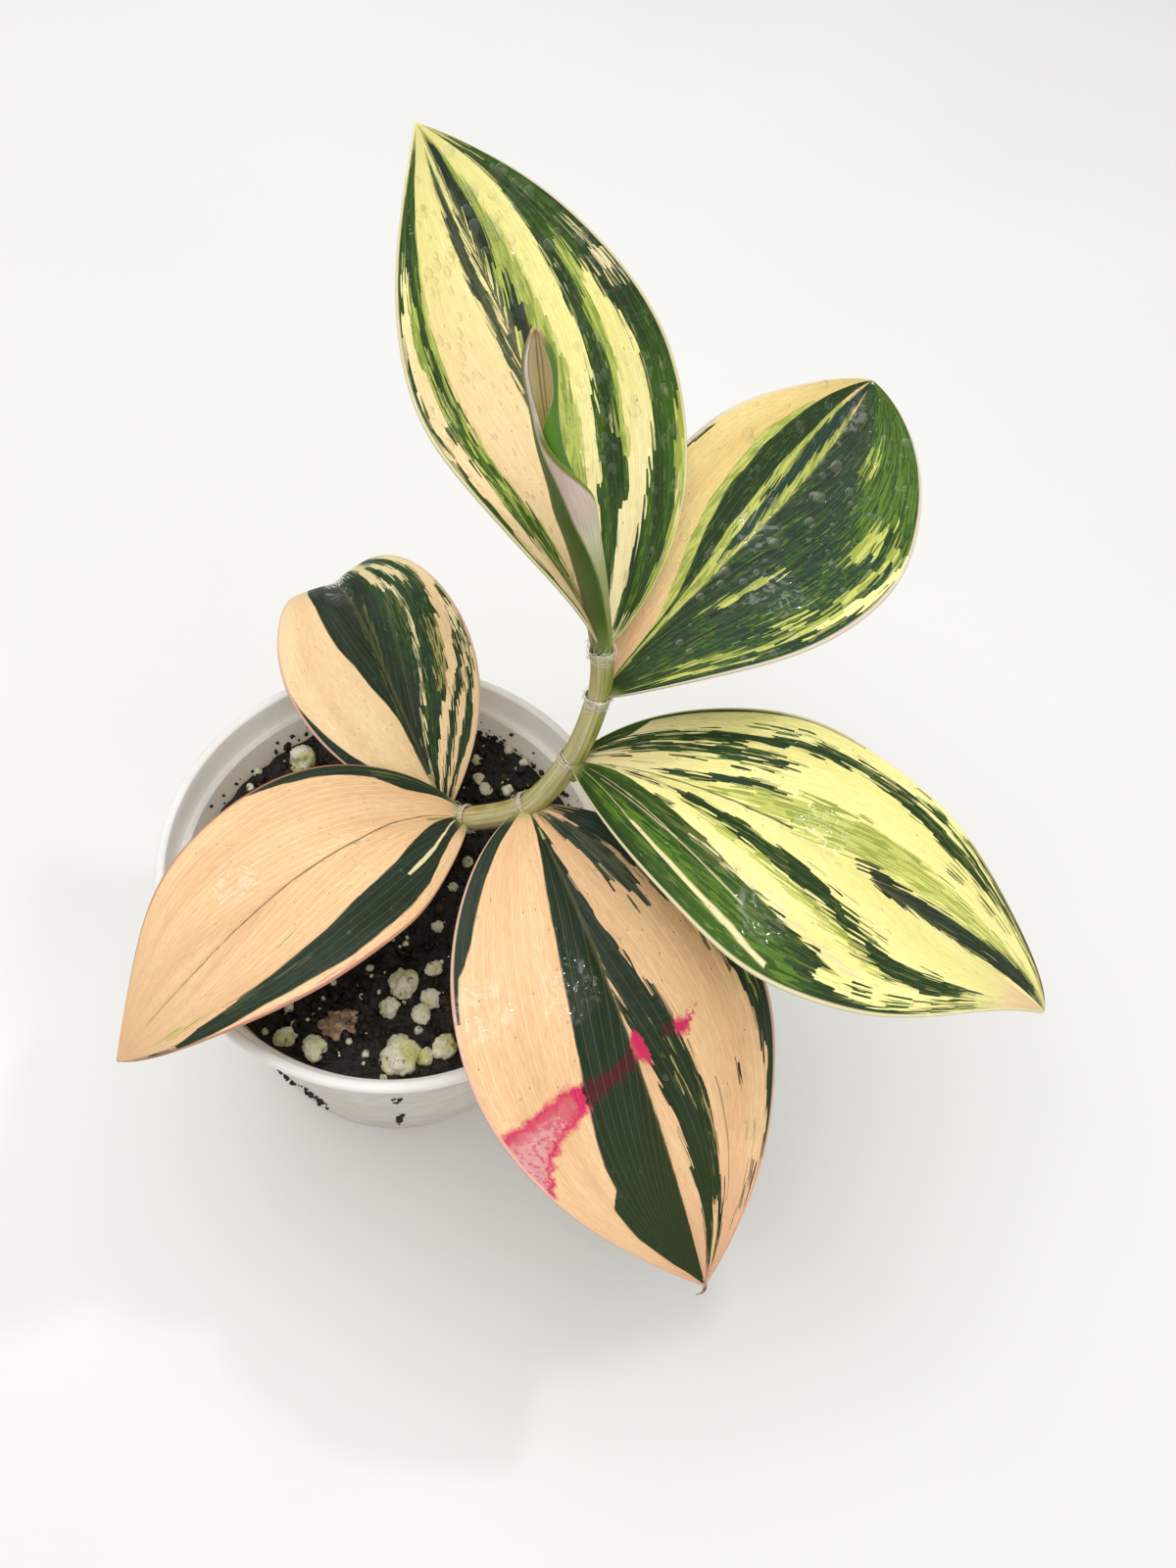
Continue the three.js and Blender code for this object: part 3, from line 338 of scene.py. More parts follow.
    "leaf_back_right": """
lime clean .05 -.02 .03, .2 -.02 .08, .4 -.02 .25, .6 -.02 .4, .9 -.02 .45;
lime clean .02 0 .03, .2 .02 .1, .29 .1 .24, .35 .2 .35, .41 .3 .43, .47 .38 .5, .54 .46 .54, .61 .49 .59,
.69 .53 .65, .75 .56 .66, .85 .6 .67;
green_deep clean .06 .03 .05, .2 .05 .08, .26 .06 .1, .33 .11 .2, .4 .14 .32, .46 .21 .39, .53 .23 .47,
.59 .26 .49, .66 .3 .54, .72 .31 .56, .8 .33 .6, .9 .38 .65, 1 .42 .65;
lime ragged .2 .02 .04 .7, .3 .04 .08 .8, .38 .05 .12, .45 .08 .17, .52 .13 .2, .59 .17 .24, .66 .2 .27,
.72 .23 .28, .8 .26 .3, .9 .3 .33;
olive torn .4 .08 .14 .3, .6 .16 .24 .4, .8 .26 .32 .5;
teal ragged .3 .03 .04, .4 .035 .06, .5 .05 .12, .6 .07 .17, .7 .1 .21, .8 .1 .27, .9 .07 .3, 1 0 .3;
mixed clean .01 -1.2 -.002, .99 -1.2 -.002;
dark torn .12 -.35 -.01 .35, .3 -.45 -.01 .55, .5 -.5 -.01 .5, .7 -.35 -.01 .55, .9 -.3 -.01 .6;
bright torn .6 -.98 -.55 .45, .68 -1 -.48 .75, .8 -1 -.4 .85, .92 -1 -.4 .8, 1 -1 -.4 .8;
lime clean .08 0 .03, .17 .01 .03, .34 .005 .02, .5 .02 .035, .66 .02 .035, .77 .06 .075, .88 .04 .055;
lime ragged .27 -.235 -.2, .33 -.285 -.235, .4 -.345 -.3, .47 -.395 -.36;
lime torn .56 -.7 -.6 .7, .62 -.76 -.63 .9, .68 -.8 -.68 .8;
lime torn .77 -.5 -.4 .7, .84 -.5 -.42 .7;
lime torn .31 -.76 -.62 .7, .4 -.8 -.68 .7;
lime torn .32 -.88 -.8 .8, .44 -.9 -.83 .8;
lime ragged .46 -.85 -.79, .54 -.86 -.8, .6 -.9 -.85, .65 -.91 -.87;
yellow ragged .4 -.92 -.87, .47 -.935 -.87, .55 -.97 -.92, .64 -1 -.955;
lime ragged .08 -.54 -.5 .8, .18 -.745 -.7 .9, .26 -.84 -.8, .36 -.86 -.81;
fleck torn .06 -.9 -.3 .3, .2 -.95 -.3 .25, .5 -.95 -.35 .16, .9 -.9 -.3 .16;
lime ragged .04 -.75 -.68 .8, .14 -.86 -.8 .8, .24 -.94 -.89 .7;
green_deep ragged .51 .95 1.2, .61 .96 1.2""",
    "leaf_back_left": """
dark clean .02 -1.2 .05, .16 -1.2 .05, .25 -1.2 .07, .35 -1.2 .1, .41 -1.2 .15, .48 -1.2 .23, .55 -1.2 .28,
.62 -1.2 .37, .69 -1.2 .42, .78 -1.2 .47, .88 -1.2 .6, .97 -1.2 .75;
mixed torn .1 -.95 -.15 .5, .4 -1 -.25 .6, .6 -1 -.2 .65, .8 -1 -.3 .7, .95 -1 -.2 .7;
dark clean .06 .68 1.2, .15 .76 1.2, .2 .76 1.2, .25 .8 1.2, .3 .85 1.2, .4 .92 1.2, .5 .97 1.2, .6 1 1.2;
khaki torn .36 -.54 -.44 .35, .43 -.62 -.5 .7, .5 -.68 -.56 .65, .58 -.76 -.62 .45;
olive torn .48 -.36 -.2 .4, .6 -.42 -.28 .5, .7 -.5 -.33 .5;
cream ragged .12 -.065 -.045, .2 -.1 -.075, .25 -.155 -.125, .33 -.245 -.215, .44 -.355 -.325, .53 -.425 -.39,
.61 -.5 -.455, .68 -.54 -.5, .73 -.52 -.46, .78 -.47 -.36, .83 -.5 -.36, .9 -.7 -.48, .95 -.97 -.6;
ivory ragged .06 -.22 -.13, .12 -.33 -.22, .18 -.44 -.31, .28 -.55 -.42, .37 -.66 -.55, .45 -.77 -.65,
.52 -.82 -.7, .6 -.88 -.75, .67 -.92 -.82, .73 -.98 -.87;
ivory ragged .06 -.5 -.4, .13 -.66 -.53, .21 -.72 -.61, .3 -.78 -.68, .39 -.86 -.79, .44 -.89 -.85;
ivory ragged .04 -1.2 -.62, .08 -1.2 -.68, .15 -1.2 -.84, .22 -1.2 -.88, .35 -1.2 -.91, .45 -1.2 -.95,
.55 -1.2 -.985;
cream torn .44 -.95 -.85 .5, .62 -.98 -.88 .6;
cream ragged .74 -.76 -.66 .8, .79 -.75 -.62, .85 -.68 -.58 .8;
cream ragged .69 -1.2 -.96, .78 -1.2 -.86, .87 -1.2 -.86;
olive clean .14 .06 .075, .39 .05 .065, .55 .035 .05, .71 .028 .042, .85 .02 .03;
olive ragged .5 -.03 -.01 .8, .6 -.07 -.03 .9, .72 -.12 -.07 .8;
grey_green clean .44 -.18 -.17, .59 -.275 -.262, .69 -.33 -.318;
grey_green clean .3 -.1 -.09, .5 -.2 -.188, .66 -.3 -.29;
white torn .86 -.1 .18 .5, .9 -.3 .24 .8, .94 -.4 .3 .9, .98 -.4 .2 .9""",
}


def linear(name_or_rgb):
    """An sRGB colour, by name or as 0 to 255, as the linear RGBA that shaders use."""
    rgb = COLOURS[name_or_rgb] if isinstance(name_or_rgb, str) else name_or_rgb
    share = np.array(rgb, float) / 255
    bent = np.where(share <= 0.04045, share / 12.92, ((share + 0.055) / 1.055) ** 2.4)
    return (*bent.tolist(), 1.0)


def build(name, points, faces, material, attributes=None):
    """A smooth mesh object from millimetre points, with its place in its mesh."""
    mesh = bpy.data.meshes.new(name)
    mesh.from_pydata((np.asarray(points, float).reshape(-1, 3) * MM).tolist(), [], faces)
    for key, values in (attributes or {}).items():
        layer = mesh.attributes.new(key, "FLOAT_VECTOR", "POINT")
        layer.data.foreach_set("vector", np.asarray(values, np.float32).ravel())
    mesh.polygons.foreach_set("use_smooth", [True] * len(mesh.polygons))
    mesh.validate()
    mesh.materials.append(material)
    piece = bpy.data.objects.new(name, mesh)
    bpy.context.scene.collection.objects.link(piece)
    return piece


def ride(piece, slot, *nodes):
    """Puts a finished piece on the part's one body and hides the CAD nodes it stands for. The slot is not
    used.
    """
    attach(piece, "root")
    if nodes:
        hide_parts(*nodes)


def loft(rings, caps=True):
    """The points of closed rings, and the faces of the tube through them with its two ends closed."""
    rings = np.asarray(rings, float)
    rows, columns = rings.shape[:2]
    i, j = np.meshgrid(np.arange(rows - 1), np.arange(columns), indexing="ij")
    a, b = i * columns + j, i * columns + (j + 1) % columns
    faces = np.stack([a, b, b + columns, a + columns], -1).reshape(-1, 4).tolist()
    if caps:
        faces += [list(range(columns))[::-1], list(range((rows - 1) * columns, rows * columns))]
    return rings.reshape(-1, 3), faces


class Parts:
    """Collects several shapes and their attributes into one mesh."""

    def __init__(self, *keys):
        self.points, self.faces, self.count = [], [], 0
        self.values = {key: [] for key in keys}

    def add(self, points, faces, **values):
        self.faces += [[corner + self.count for corner in face] for face in faces]
        self.points.append(points)
        self.count += len(points)
        for key, rows in self.values.items():
            rows.append(np.broadcast_to(np.asarray(values[key], float).reshape(-1, 3), points.shape))

    def build(self, name, material):
        joined = {key: np.concatenate(rows) for key, rows in self.values.items()}
        return build(name, np.concatenate(self.points), self.faces, material, joined)


def labels(*values):
    """Three values for each point, as an attribute holds them."""
    return np.stack(np.broadcast_arrays(*values), -1)


def unit(vectors):
    return vectors / np.maximum(np.linalg.norm(vectors, axis=-1, keepdims=True), 1e-12)


def circle(sides):
    """Turns of a ring's points, in radians."""
    return np.linspace(0, 2 * np.pi, sides, endpoint=False)


def around(turn, a, b):
    """Directions at turns from a towards b."""
    return np.cos(turn)[..., None] * a + np.sin(turn)[..., None] * b


def polar(angle, out, z):
    return out * math.cos(angle), out * math.sin(angle), z


def level_ring(radius, sides, z):
    return labels(radius * np.cos(circle(sides)), radius * np.sin(circle(sides)), z)


def read_along(places, table, at):
    """Rows of a table of points that belong to places, read at other places."""
    return np.stack([np.interp(at, places, column) for column in table.T], -1)


def through(values, u):
    """A curve through a value at the base, the middle and the tip."""
    base, middle, tip = values
    return base + (4 * middle - 3 * base - tip) * u + (2 * base + 2 * tip - 4 * middle) * u * u


def curve_through(points, steps):
    """Points of a smooth curve through the given ones, evenly eased for uneven spacing."""
    p = np.array(points, float)
    p = np.vstack([2 * p[0] - p[1], p, 2 * p[-1] - p[-2]])
    t = np.linspace(0, 1, steps, endpoint=False)[:, None]
    found = []
    for a, b, c, d in zip(p, p[1:], p[2:], p[3:]):
        before, here, after = (math.sqrt(np.linalg.norm(x)) for x in (b - a, c - b, d - c))
        leave = ((b - a) / before - (c - a) / (before + here) + (c - b) / here) * here
        arrive = ((c - b) / here - (d - b) / (here + after) + (d - c) / after) * here
        found.append(b + leave * t + (3 * (c - b) - 2 * leave - arrive) * t ** 2
                     + (2 * (b - c) + leave + arrive) * t ** 3)
    return np.vstack(found + [p[-2:-1]])


STEM_STEPS = 80
nodes = [leaf["node"] for leaf in LEAVES.values()]
stem_points = curve_through([FOOT, AT_SOIL, *nodes, ROLL_BEND, ROLL_NECK, ROLL_TIP], STEM_STEPS)
stem_at = np.concatenate([[0], np.cumsum(np.linalg.norm(np.diff(stem_points, axis=0), axis=1))])
soil_at, *mouth_at = stem_at[STEM_STEPS:STEM_STEPS * (len(LEAVES) + 2):STEM_STEPS]
roll_start = mouth_at[-1] - SHEATH_OVERLAP


def stem_frame(distance):
    """Centre and the two directions round the stem, at distances along it."""
    distance = np.clip(np.asarray(distance, float), 0, stem_at[-1])
    forward = np.gradient(stem_points, stem_at, axis=0)
    ahead = unit(read_along(stem_at, forward, distance))
    side = unit(np.cross([0.0, 1.0, 0.0], ahead))
    return read_along(stem_at, stem_points, distance), side, np.cross(ahead, side)


def rings_on_stem(distances, radii, sides):
    """Rings round the stem line, from a column of radii or one radius a point."""
    centre, side, front = (vectors[:, None] for vectors in stem_frame(distances))
    return centre + (radii + np.zeros(sides))[..., None] * around(circle(sides), side, front)


def tube_along(spine, above, girth, sides):
    """The rings of a tube round a spine, from the side it calls up and its radii."""
    forward = unit(np.gradient(spine, axis=0))
    right = unit(np.cross(forward, above))
    up = np.cross(right, forward)
    return spine[:, None] + girth[:, None, None] * around(circle(sides), right[:, None], up[:, None])


def midrib(leaf):
    """Stations along a blade's midrib, their places and the directions across and above."""
    u = np.linspace(0, 1, MIDRIB_STEPS + 1)
    curl_angle, curl_start = leaf["curl"]
    curled = np.clip((u - curl_start) / (1 - curl_start), 0, None) ** 1.3
    heading = np.radians(through(leaf["heading"], u))
    rise = np.radians(through(leaf["rise"], u) - curl_angle * curled)
    tilt = np.radians(through(leaf["tilt"], u))
    ahead = labels(np.cos(heading) * np.cos(rise), np.sin(heading) * np.cos(rise), np.sin(rise))
    place = np.zeros((MIDRIB_STEPS + 1, 3))
    place[1:] = np.cumsum((ahead[1:] + ahead[:-1]) / 2, axis=0) * leaf["length"] / MIDRIB_STEPS
    level = labels(-np.sin(heading), np.cos(heading), 0)
    upright = np.cross(ahead, level)
    return u, place + np.array(leaf["node"]), around(tilt, level, upright), around(tilt, upright, -level)


def outline(leaf, u):
    """Share of the full half width at u."""
    base, tip = leaf["full"]
    widest = base / (base + tip)
    inside = np.clip(u, 1e-6, 1 - 1e-6)
    return (inside / widest) ** base * ((1 - inside) / (1 - widest)) ** tip


def blade_points(leaf, us, vs):
    """The blade's middle surface on a grid of u and v, its facing and the distances from its midrib."""
    stations, *tables = midrib(leaf)
    place, across, above = (read_along(stations, table, us)[:, None] for table in tables)
    full = outline(leaf, us)[:, None]
    left, out = vs >= 0, np.abs(vs)
    half = np.where(left, *leaf["half"])
    fold, lift = (np.radians(np.where(left, leaf["left"][k], leaf["right"][k])) for k in (0, 1))
    reach = np.maximum(half * full, 1.0 - 0.7 * us[:, None])
    bend = (lift - fold) * full * out
    slope = fold + bend / 2
    chord = reach * out * np.sinc(bend / 2 / np.pi)
    size, count, phase = leaf["wave"]
    turn = count * us[:, None] + phase + np.where(left, 0, WING_PHASE)
    ripple = size * out * out * full * np.sin(2 * np.pi * turn)
    side = np.where(left, 1, -1) * chord * np.cos(slope)
    high = chord * np.sin(slope) + ripple
    points = place + side[..., None] * across + high[..., None] * above
    facing = unit(np.cross(np.gradient(points, axis=0), np.gradient(points, axis=1)))
    return points, facing, reach * out


def blade_mesh(name, material):
    """A closed thin blade whose attribute "leaf" holds u, v and 1 on its upper face."""
    t = np.linspace(0, 1, BLADE_STATIONS)
    us = 0.7 * t + 0.3 * (1 - np.cos(np.pi * t)) / 2
    vs = np.concatenate([[-1], np.linspace(-INNER_MARGIN, INNER_MARGIN, BLADE_COLUMNS), [1]])
    points, facing, out = blade_points(LEAVES[name], us, vs)
    u, v = np.meshgrid(us, vs, indexing="ij")
    groove = GROOVE_DEPTH * np.exp(-((out / GROOVE_WIDTH) ** 2)) * (1 - u)
    rib = RIB_THICKNESS * np.clip(1 - np.abs(v) * 3, 0, 1) ** 2 * (1 - u)
    top = points + facing * (BLADE_THICKNESS / 2 - groove)[..., None]
    low = points - facing * (BLADE_THICKNESS / 2 + rib)[..., None]
    rim = points[:, [0, -1]] + RIM_ROUND * unit(points[:, [0, -1]] - points[:, [1, -2]])
    ring = np.concatenate([top, rim[:, 1:], low[:, ::-1], rim[:, :1]], axis=1)
    marks = np.concatenate([labels(u, v, 1.0), labels(u, v, 0.5)[:, -1:], labels(u, v, 0.0)[:, ::-1],
                            labels(u, v, 0.5)[:, :1]], axis=1)
    return build(name + "_blade", *loft(ring), material, {"leaf": marks})


class Value:
    """A shader socket that can stand in sums, differences, products and quotients."""

    def __init__(self, nodes, socket):
        self.nodes, self.socket = nodes, socket


def arithmetic(operation, swapped):
    def method(self, other):
        return self.nodes.math(operation, *((other, self) if swapped else (self, other)))
    return method


for sign, operation in (("add", "ADD"), ("sub", "SUBTRACT"), ("mul", "MULTIPLY"), ("truediv", "DIVIDE")):
    setattr(Value, f"__{sign}__", arithmetic(operation, False))
    setattr(Value, f"__r{sign}__", arithmetic(operation, True))


class Nodes:
    """Builds one node tree with short calls. Colours are values, names or sRGB from 0 to 255."""

    def __init__(self, tree, material=None):
        self.tree, self.material = tree, material
        tree.nodes.clear()

    def node(self, kind, inputs=None, **settings):
        """A new node, as a function that gives its output by number or name."""
        node = self.tree.nodes.new(kind)
        for key, value in settings.items():
            setattr(node, key, value)
        for key, value in (inputs or {}).items():
            if isinstance(value, Value):
                self.tree.links.new(value.socket, node.inputs[key])
            else:
                node.inputs[key].default_value = value
        return lambda key=0: Value(self, node.outputs[key])

    def math(self, operation, a, b=0.0, clamp=False):
        return self.node("ShaderNodeMath", {0: a, 1: b}, operation=operation, use_clamp=clamp)()

    def mix(self, share, a, b, blend="MIX"):
        a, b = (colour if isinstance(colour, Value) else linear(colour) for colour in (a, b))
        return self.node("ShaderNodeMix", {0: share, 6: a, 7: b}, data_type="RGBA", blend_type=blend)(2)

    def span(self, value, low, high, start=0.0, end=1.0, smooth=False):
        kind = "SMOOTHSTEP" if smooth else "LINEAR"
        return self.node("ShaderNodeMapRange", {0: value, 1: low, 2: high, 3: start, 4: end},
                         interpolation_type=kind)()

    def lay(self, under, over, value, low, high, share=1.0, smooth=False):
        """One colour over another where a value goes from low to high, up to a share of it."""
        return self.mix(self.span(value, low, high, 0.0, share, smooth), under, over)

    def shade(self, colour, value, dark, light):
        """A colour made darker and lighter by noise."""
        return self.mix(1.0, colour, self.span(value, *NOISE_SPREAD, dark, light), "MULTIPLY")

    def stretched(self, vector, scales):
        return self.node("ShaderNodeVectorMath", {0: vector, 1: scales}, operation="MULTIPLY")()

    def noise(self, vector, scale, detail=2.0, roughness=0.5, distortion=0.0):
        """Soft noise, at one scale or at one for each axis."""
        if isinstance(scale, tuple):
            vector, scale = self.stretched(vector, scale), 1.0
        return self.node("ShaderNodeTexNoise", {"Vector": vector, "Scale": scale, "Detail": detail,
                                                "Roughness": roughness, "Distortion": distortion})()

    def cells(self, vector, scale=1.0, randomness=1.0, **settings):
        inputs = {"Vector": vector, "Scale": scale, "Randomness": randomness}
        return self.node("ShaderNodeTexVoronoi", inputs, **settings)

    def blocks(self, x, y):
        """Uneven rectangles of about one unit: two random numbers for each, and the place of its middle."""
        found = self.cells(self.vector(x, y), 1.0, 0.85, voronoi_dimensions="2D", distance="CHEBYCHEV")
        return *self.parts(found("Color"))[:2], *self.parts(found("Position"))[:2]

    def ramp(self, share, stops):
        """Linear colours at places along a share."""
        found = self.node("ShaderNodeValToRGB", {0: share})()
        elements = found.socket.node.color_ramp.elements
        while len(elements) < len(stops):
            elements.new(0.5)
        for element, (place, _) in zip(elements, stops):
            element.position = place
        for element, (_, colour) in zip(elements, stops):
            element.color = colour
        return found

    def bump(self, height, strength, distance):
        return self.node("ShaderNodeBump", {"Height": height, "Strength": strength, "Distance": distance})()

    def spot(self):
        """The place on the part, in metres."""
        return self.node("ShaderNodeTexCoord")("Object")

    def attribute(self, name):
        return self.parts(self.node("ShaderNodeAttribute", attribute_name=name)("Vector"))

    def parts(self, vector):
        node = self.node("ShaderNodeSeparateXYZ", {0: vector})
        return [node(k) for k in range(3)]

    def vector(self, x, y, z=0.0):
        return self.node("ShaderNodeCombineXYZ", {0: x, 1: y, 2: z})()

    def surface(self, **inputs):
        """Ends the material in the Principled shader, with input names written with underscores."""
        named = {key.replace("_", " "): value for key, value in inputs.items()}
        self.node("ShaderNodeOutputMaterial", {"Surface": self.node("ShaderNodeBsdfPrincipled", named)()})
        return self.material


def new_material(name):
    material = bpy.data.materials.new(name)
    material.use_nodes = True
    return Nodes(material.node_tree, material)


def stripe_group():
    """Mask of a stripe between a lower and an upper edge, thinned to grains by its density."""
    tree = bpy.data.node_groups.new("Stripe", "ShaderNodeTree")
    for name, kind, way in (("Across", "Float", "INPUT"), ("Edges", "Color", "INPUT"),
                            ("Grain", "Float", "INPUT"), ("Mask", "Float", "OUTPUT")):
        tree.interface.new_socket(name, in_out=way, socket_type="NodeSocket" + kind)
    n = Nodes(tree)
    given = n.node("NodeGroupInput")
    across, grain = given("Across"), given("Grain")
    edges = n.node("ShaderNodeSeparateColor", {0: given("Edges")})
    soft_step = lambda value, width: n.math("ADD", value / width, 0.5, clamp=True)
    inside = soft_step(across - edges(0), EDGE_SOFTNESS) * soft_step(edges(1) - across, EDGE_SOFTNESS)
    kept = soft_step(edges(2) * 1.2 - (grain + 0.1), 0.1)
    n.node("NodeGroupOutput", {"Mask": inside * kept})
    return tree


STRIPE = stripe_group()


def edge_stops(rows, scale, middle):
    """Colour stops that hold a mark's lower edge, upper edge and density at each place."""
    stops = []
    for place, lower, upper, *density in rows:
        edges = (EDGE_MIDDLE + EDGE_SCALE * lower, EDGE_MIDDLE + EDGE_SCALE * upper)
        stops.append((min(1.0, max(0.0, middle + scale * place)), (*edges, *(density or [1.0]), 1.0)))
    (first, (*first_edges, _, _)), (last, (*last_edges, _, _)) = stops[0], stops[-1]
    if first > STOP_GAP:
        stops.insert(0, (first - STOP_GAP, (*first_edges, 0.0, 1.0)))
    if last < 1 - STOP_GAP:
        stops.append((last + STOP_GAP, (*last_edges, 0.0, 1.0)))
    return stops


def leaf_material(name):
    """Variegation of one leaf: its base colour, its marks in order, veins, margin and a paler underside."""
    n = new_material(name + "_surface")
    u, v, upper = n.attribute("leaf")
    out, side = n.math("ABSOLUTE", v), n.math("SIGN", v)
    # Veins run outward from the midrib towards the tip: flow is the same all along a vein
    flow = 1.0 - (1.0 - out) / (1.0 - u * VEIN_SLANT)
    signed = flow * side + WING_SHIFT
    veins = n.vector(signed, u)
    wander = n.noise(veins, (22, 7, 1), 3, 0.6) - 0.5
    comb = n.noise(veins, (60, 2.5, 1), 2, 0.7) - 0.5
    grain = n.span(n.noise(veins, (48, 11, 1), 3, 0.65), *NOISE_SPREAD)
    chance, other, block_x, block_y = n.blocks(signed * BLOCKS_ACROSS, u * BLOCKS_ALONG)
    block_u = block_y / BLOCKS_ALONG
    block_flow = (block_x / BLOCKS_ACROSS - WING_SHIFT) * side
    block_v = (1.0 - (1.0 - block_flow) * (1.0 - block_u * VEIN_SLANT)) * side
    even = n.vector(v * 13.5, u * 47.5)
    blur = n.noise(even, 1.0, 4, 0.65) - 0.5
    blot = n.noise(even, (2.2, 2.2, 1), 3, 0.6)
    # For each kind of edge: u and v as it strays, and what thins its marks
    strayed = {"scar": (u + blur * 0.03, v + blur * 0.1, blot)}
    for edge, (sideways, lengthways, block_sideways, block_lengthways) in STRAY.items():
        start_u, start_v, thins = (u, v, grain) if edge == "clean" else (
            block_u, block_v, other * 0.55 + grain * 0.45)
        strayed[edge] = (start_u + comb * lengthways + (other - 0.5) * block_lengthways,
                         start_v + wander * sideways + (chance - 0.5) * block_sideways, thins)

    tone = n.noise(veins, (3, 2.2, 1), 3)
    patch = n.span(n.noise(veins, (9, 4, 1), 3), 0.4, 0.62)
    fine = n.noise(veins, (90, 26, 1), 2)
    fleck, fleck_tone, _, _ = n.blocks(signed * FLECKS_ACROSS, u * FLECKS_ALONG)
    line = n.math("ABSOLUTE", n.math("FRACT", flow * VEIN_COUNT) - 0.5)
    vein = n.span(line, 0.4, 0.49, smooth=True)
    faint = vein * n.span(tone, 0.3, 0.6, *VEIN_SHARES.get(name, PLAIN_VEIN_SHARES))

    paint = {key: key for key in COLOURS}
    for pale in PALE_COLOURS:
        ground = n.lay(pale + "_deep", pale, tone, *PATCHES)
        ground = n.lay(ground, pale + "_deep", blot, 0.5, 0.62, 0.3)
        paint[pale] = n.mix(faint, ground, pale + "_vein")
    for fresh in ("lime", "sap"):
        paint[fresh] = n.lay(fresh + "_deep", fresh, chance * 0.4 + grain * 0.6, 0.42, 0.56)
    paint["dark"] = n.mix(patch * 0.8, "dark", "dark_deep")
    if name in GREENER:
        paint["dark"] = n.lay(paint["dark"], "dark_green", u, *GREENER[name], 0.8)
    lit = n.span(fleck, 0.88, 0.92) * n.span(patch, 0.2, 0.8, 0.1, 0.75)
    paint["green"] = n.mix(lit, n.mix(patch, "green_deep", "green"), "fleck")
    paint["green_deep"] = n.lay("green_deep", "fleck", fleck, 0.92, 0.96, 0.45)
    paint["bright"] = n.lay(paint["green"], "bright", chance, *NOISE_SPREAD)
    paint["olive"] = n.lay("green_deep", "olive", chance, 0.4, 0.6)
    # The mixed green has patches of teal, where a painted sheen of sky reflection lies on the dark green
    mixed = n.lay("teal", n.lay("green_deep", "green", chance, *PATCHES), blot, 0.42, 0.56)
    paint["mixed"] = n.mix(n.span(fleck, 0.9, 0.94) * patch, mixed, "fleck")

    left, right = (n.lay(paint[near], paint[far], u, start, end, smooth=True)
                   for near, far, start, end in BASE[name])
    colour = n.lay(right, left, v, -0.001, 0.001)
    for mark in MARKS[name].split(";"):
        key, edge, rows = mark.split(None, 2)
        rows = [[float(number) for number in row.split()] for row in rows.split(",")]
        place, across, thins = strayed[edge]
        scale, middle = 1.0, 0.0
        if edge == "scar":
            scale, middle = EDGE_SCALE, EDGE_MIDDLE
            place, across = across * scale + middle, place
        edges = n.ramp(place, edge_stops(rows, scale, middle))
        mask = n.node("ShaderNodeGroup", {"Across": across * EDGE_SCALE + EDGE_MIDDLE, "Edges": edges,
                                          "Grain": thins}, node_tree=STRIPE)
        colour = n.mix(mask(), colour, paint[key])

    # Fine lengthwise streaks and flecks, pale veins a few millimetres apart, a few dark specks
    colour = n.shade(colour, fine, 0.93, 1.06)
    colour = n.mix(1.0, colour, n.span(fleck_tone, 0.0, 1.0, 0.93, 1.06), "MULTIPLY")
    colour = n.mix(vein * 0.045, colour, "cream")
    speck = n.cells(n.stretched(veins, (9, 22, 1)), voronoi_dimensions="2D")
    seldom = n.span(n.parts(speck("Color"))[0], 0.8, 0.82)
    colour = n.mix(n.span(speck("Distance"), 0.07, 0.04) * seldom * 0.6, colour, "brown")
    # The soft line of the midrib, the margin, and a green-cream base where the blade leaves its stalk
    colour = n.lay(colour, "midrib", out, 0.03, 0.0, 0.18)
    margin, width = MARGIN[name]
    colour = n.lay(colour, margin, out, 1 - width, 1 - 0.5 * width, 0.85)
    colour = n.lay(colour, "stem", u, 0.05, 0.012, 0.85, smooth=True)
    colour = n.mix(upper, n.mix(0.5, colour, "underside"), colour)

    ridges = n.math("SINE", flow * (2 * math.pi * RIDGE_COUNT))
    skin = n.bump(ridges * 0.25 + fine * 0.6 - vein * 0.9, 0.5, 0.00012)
    film = n.bump(n.noise(n.spot(), 260.0, 1, 0.4, 1.2), 1.0, 0.0014)
    wet = WETNESS[name]
    for patch_u, patch_v in WET_PATCHES[name]:
        along, aside = (u - patch_u) * 90.0, (v - patch_v) * 24.0
        away = n.math("SQRT", along * along + aside * aside) + blot * 4.0
        wet = n.math("MAXIMUM", wet, n.span(away, 7.5, 6.3) * upper)
    return n.surface(Base_Color=colour, Roughness=n.span(fine, *NOISE_SPREAD, 0.42, 0.52), Normal=skin,
                     Coat_Weight=wet, Coat_Roughness=0.04, Coat_Normal=film, Specular_IOR_Level=0.15)


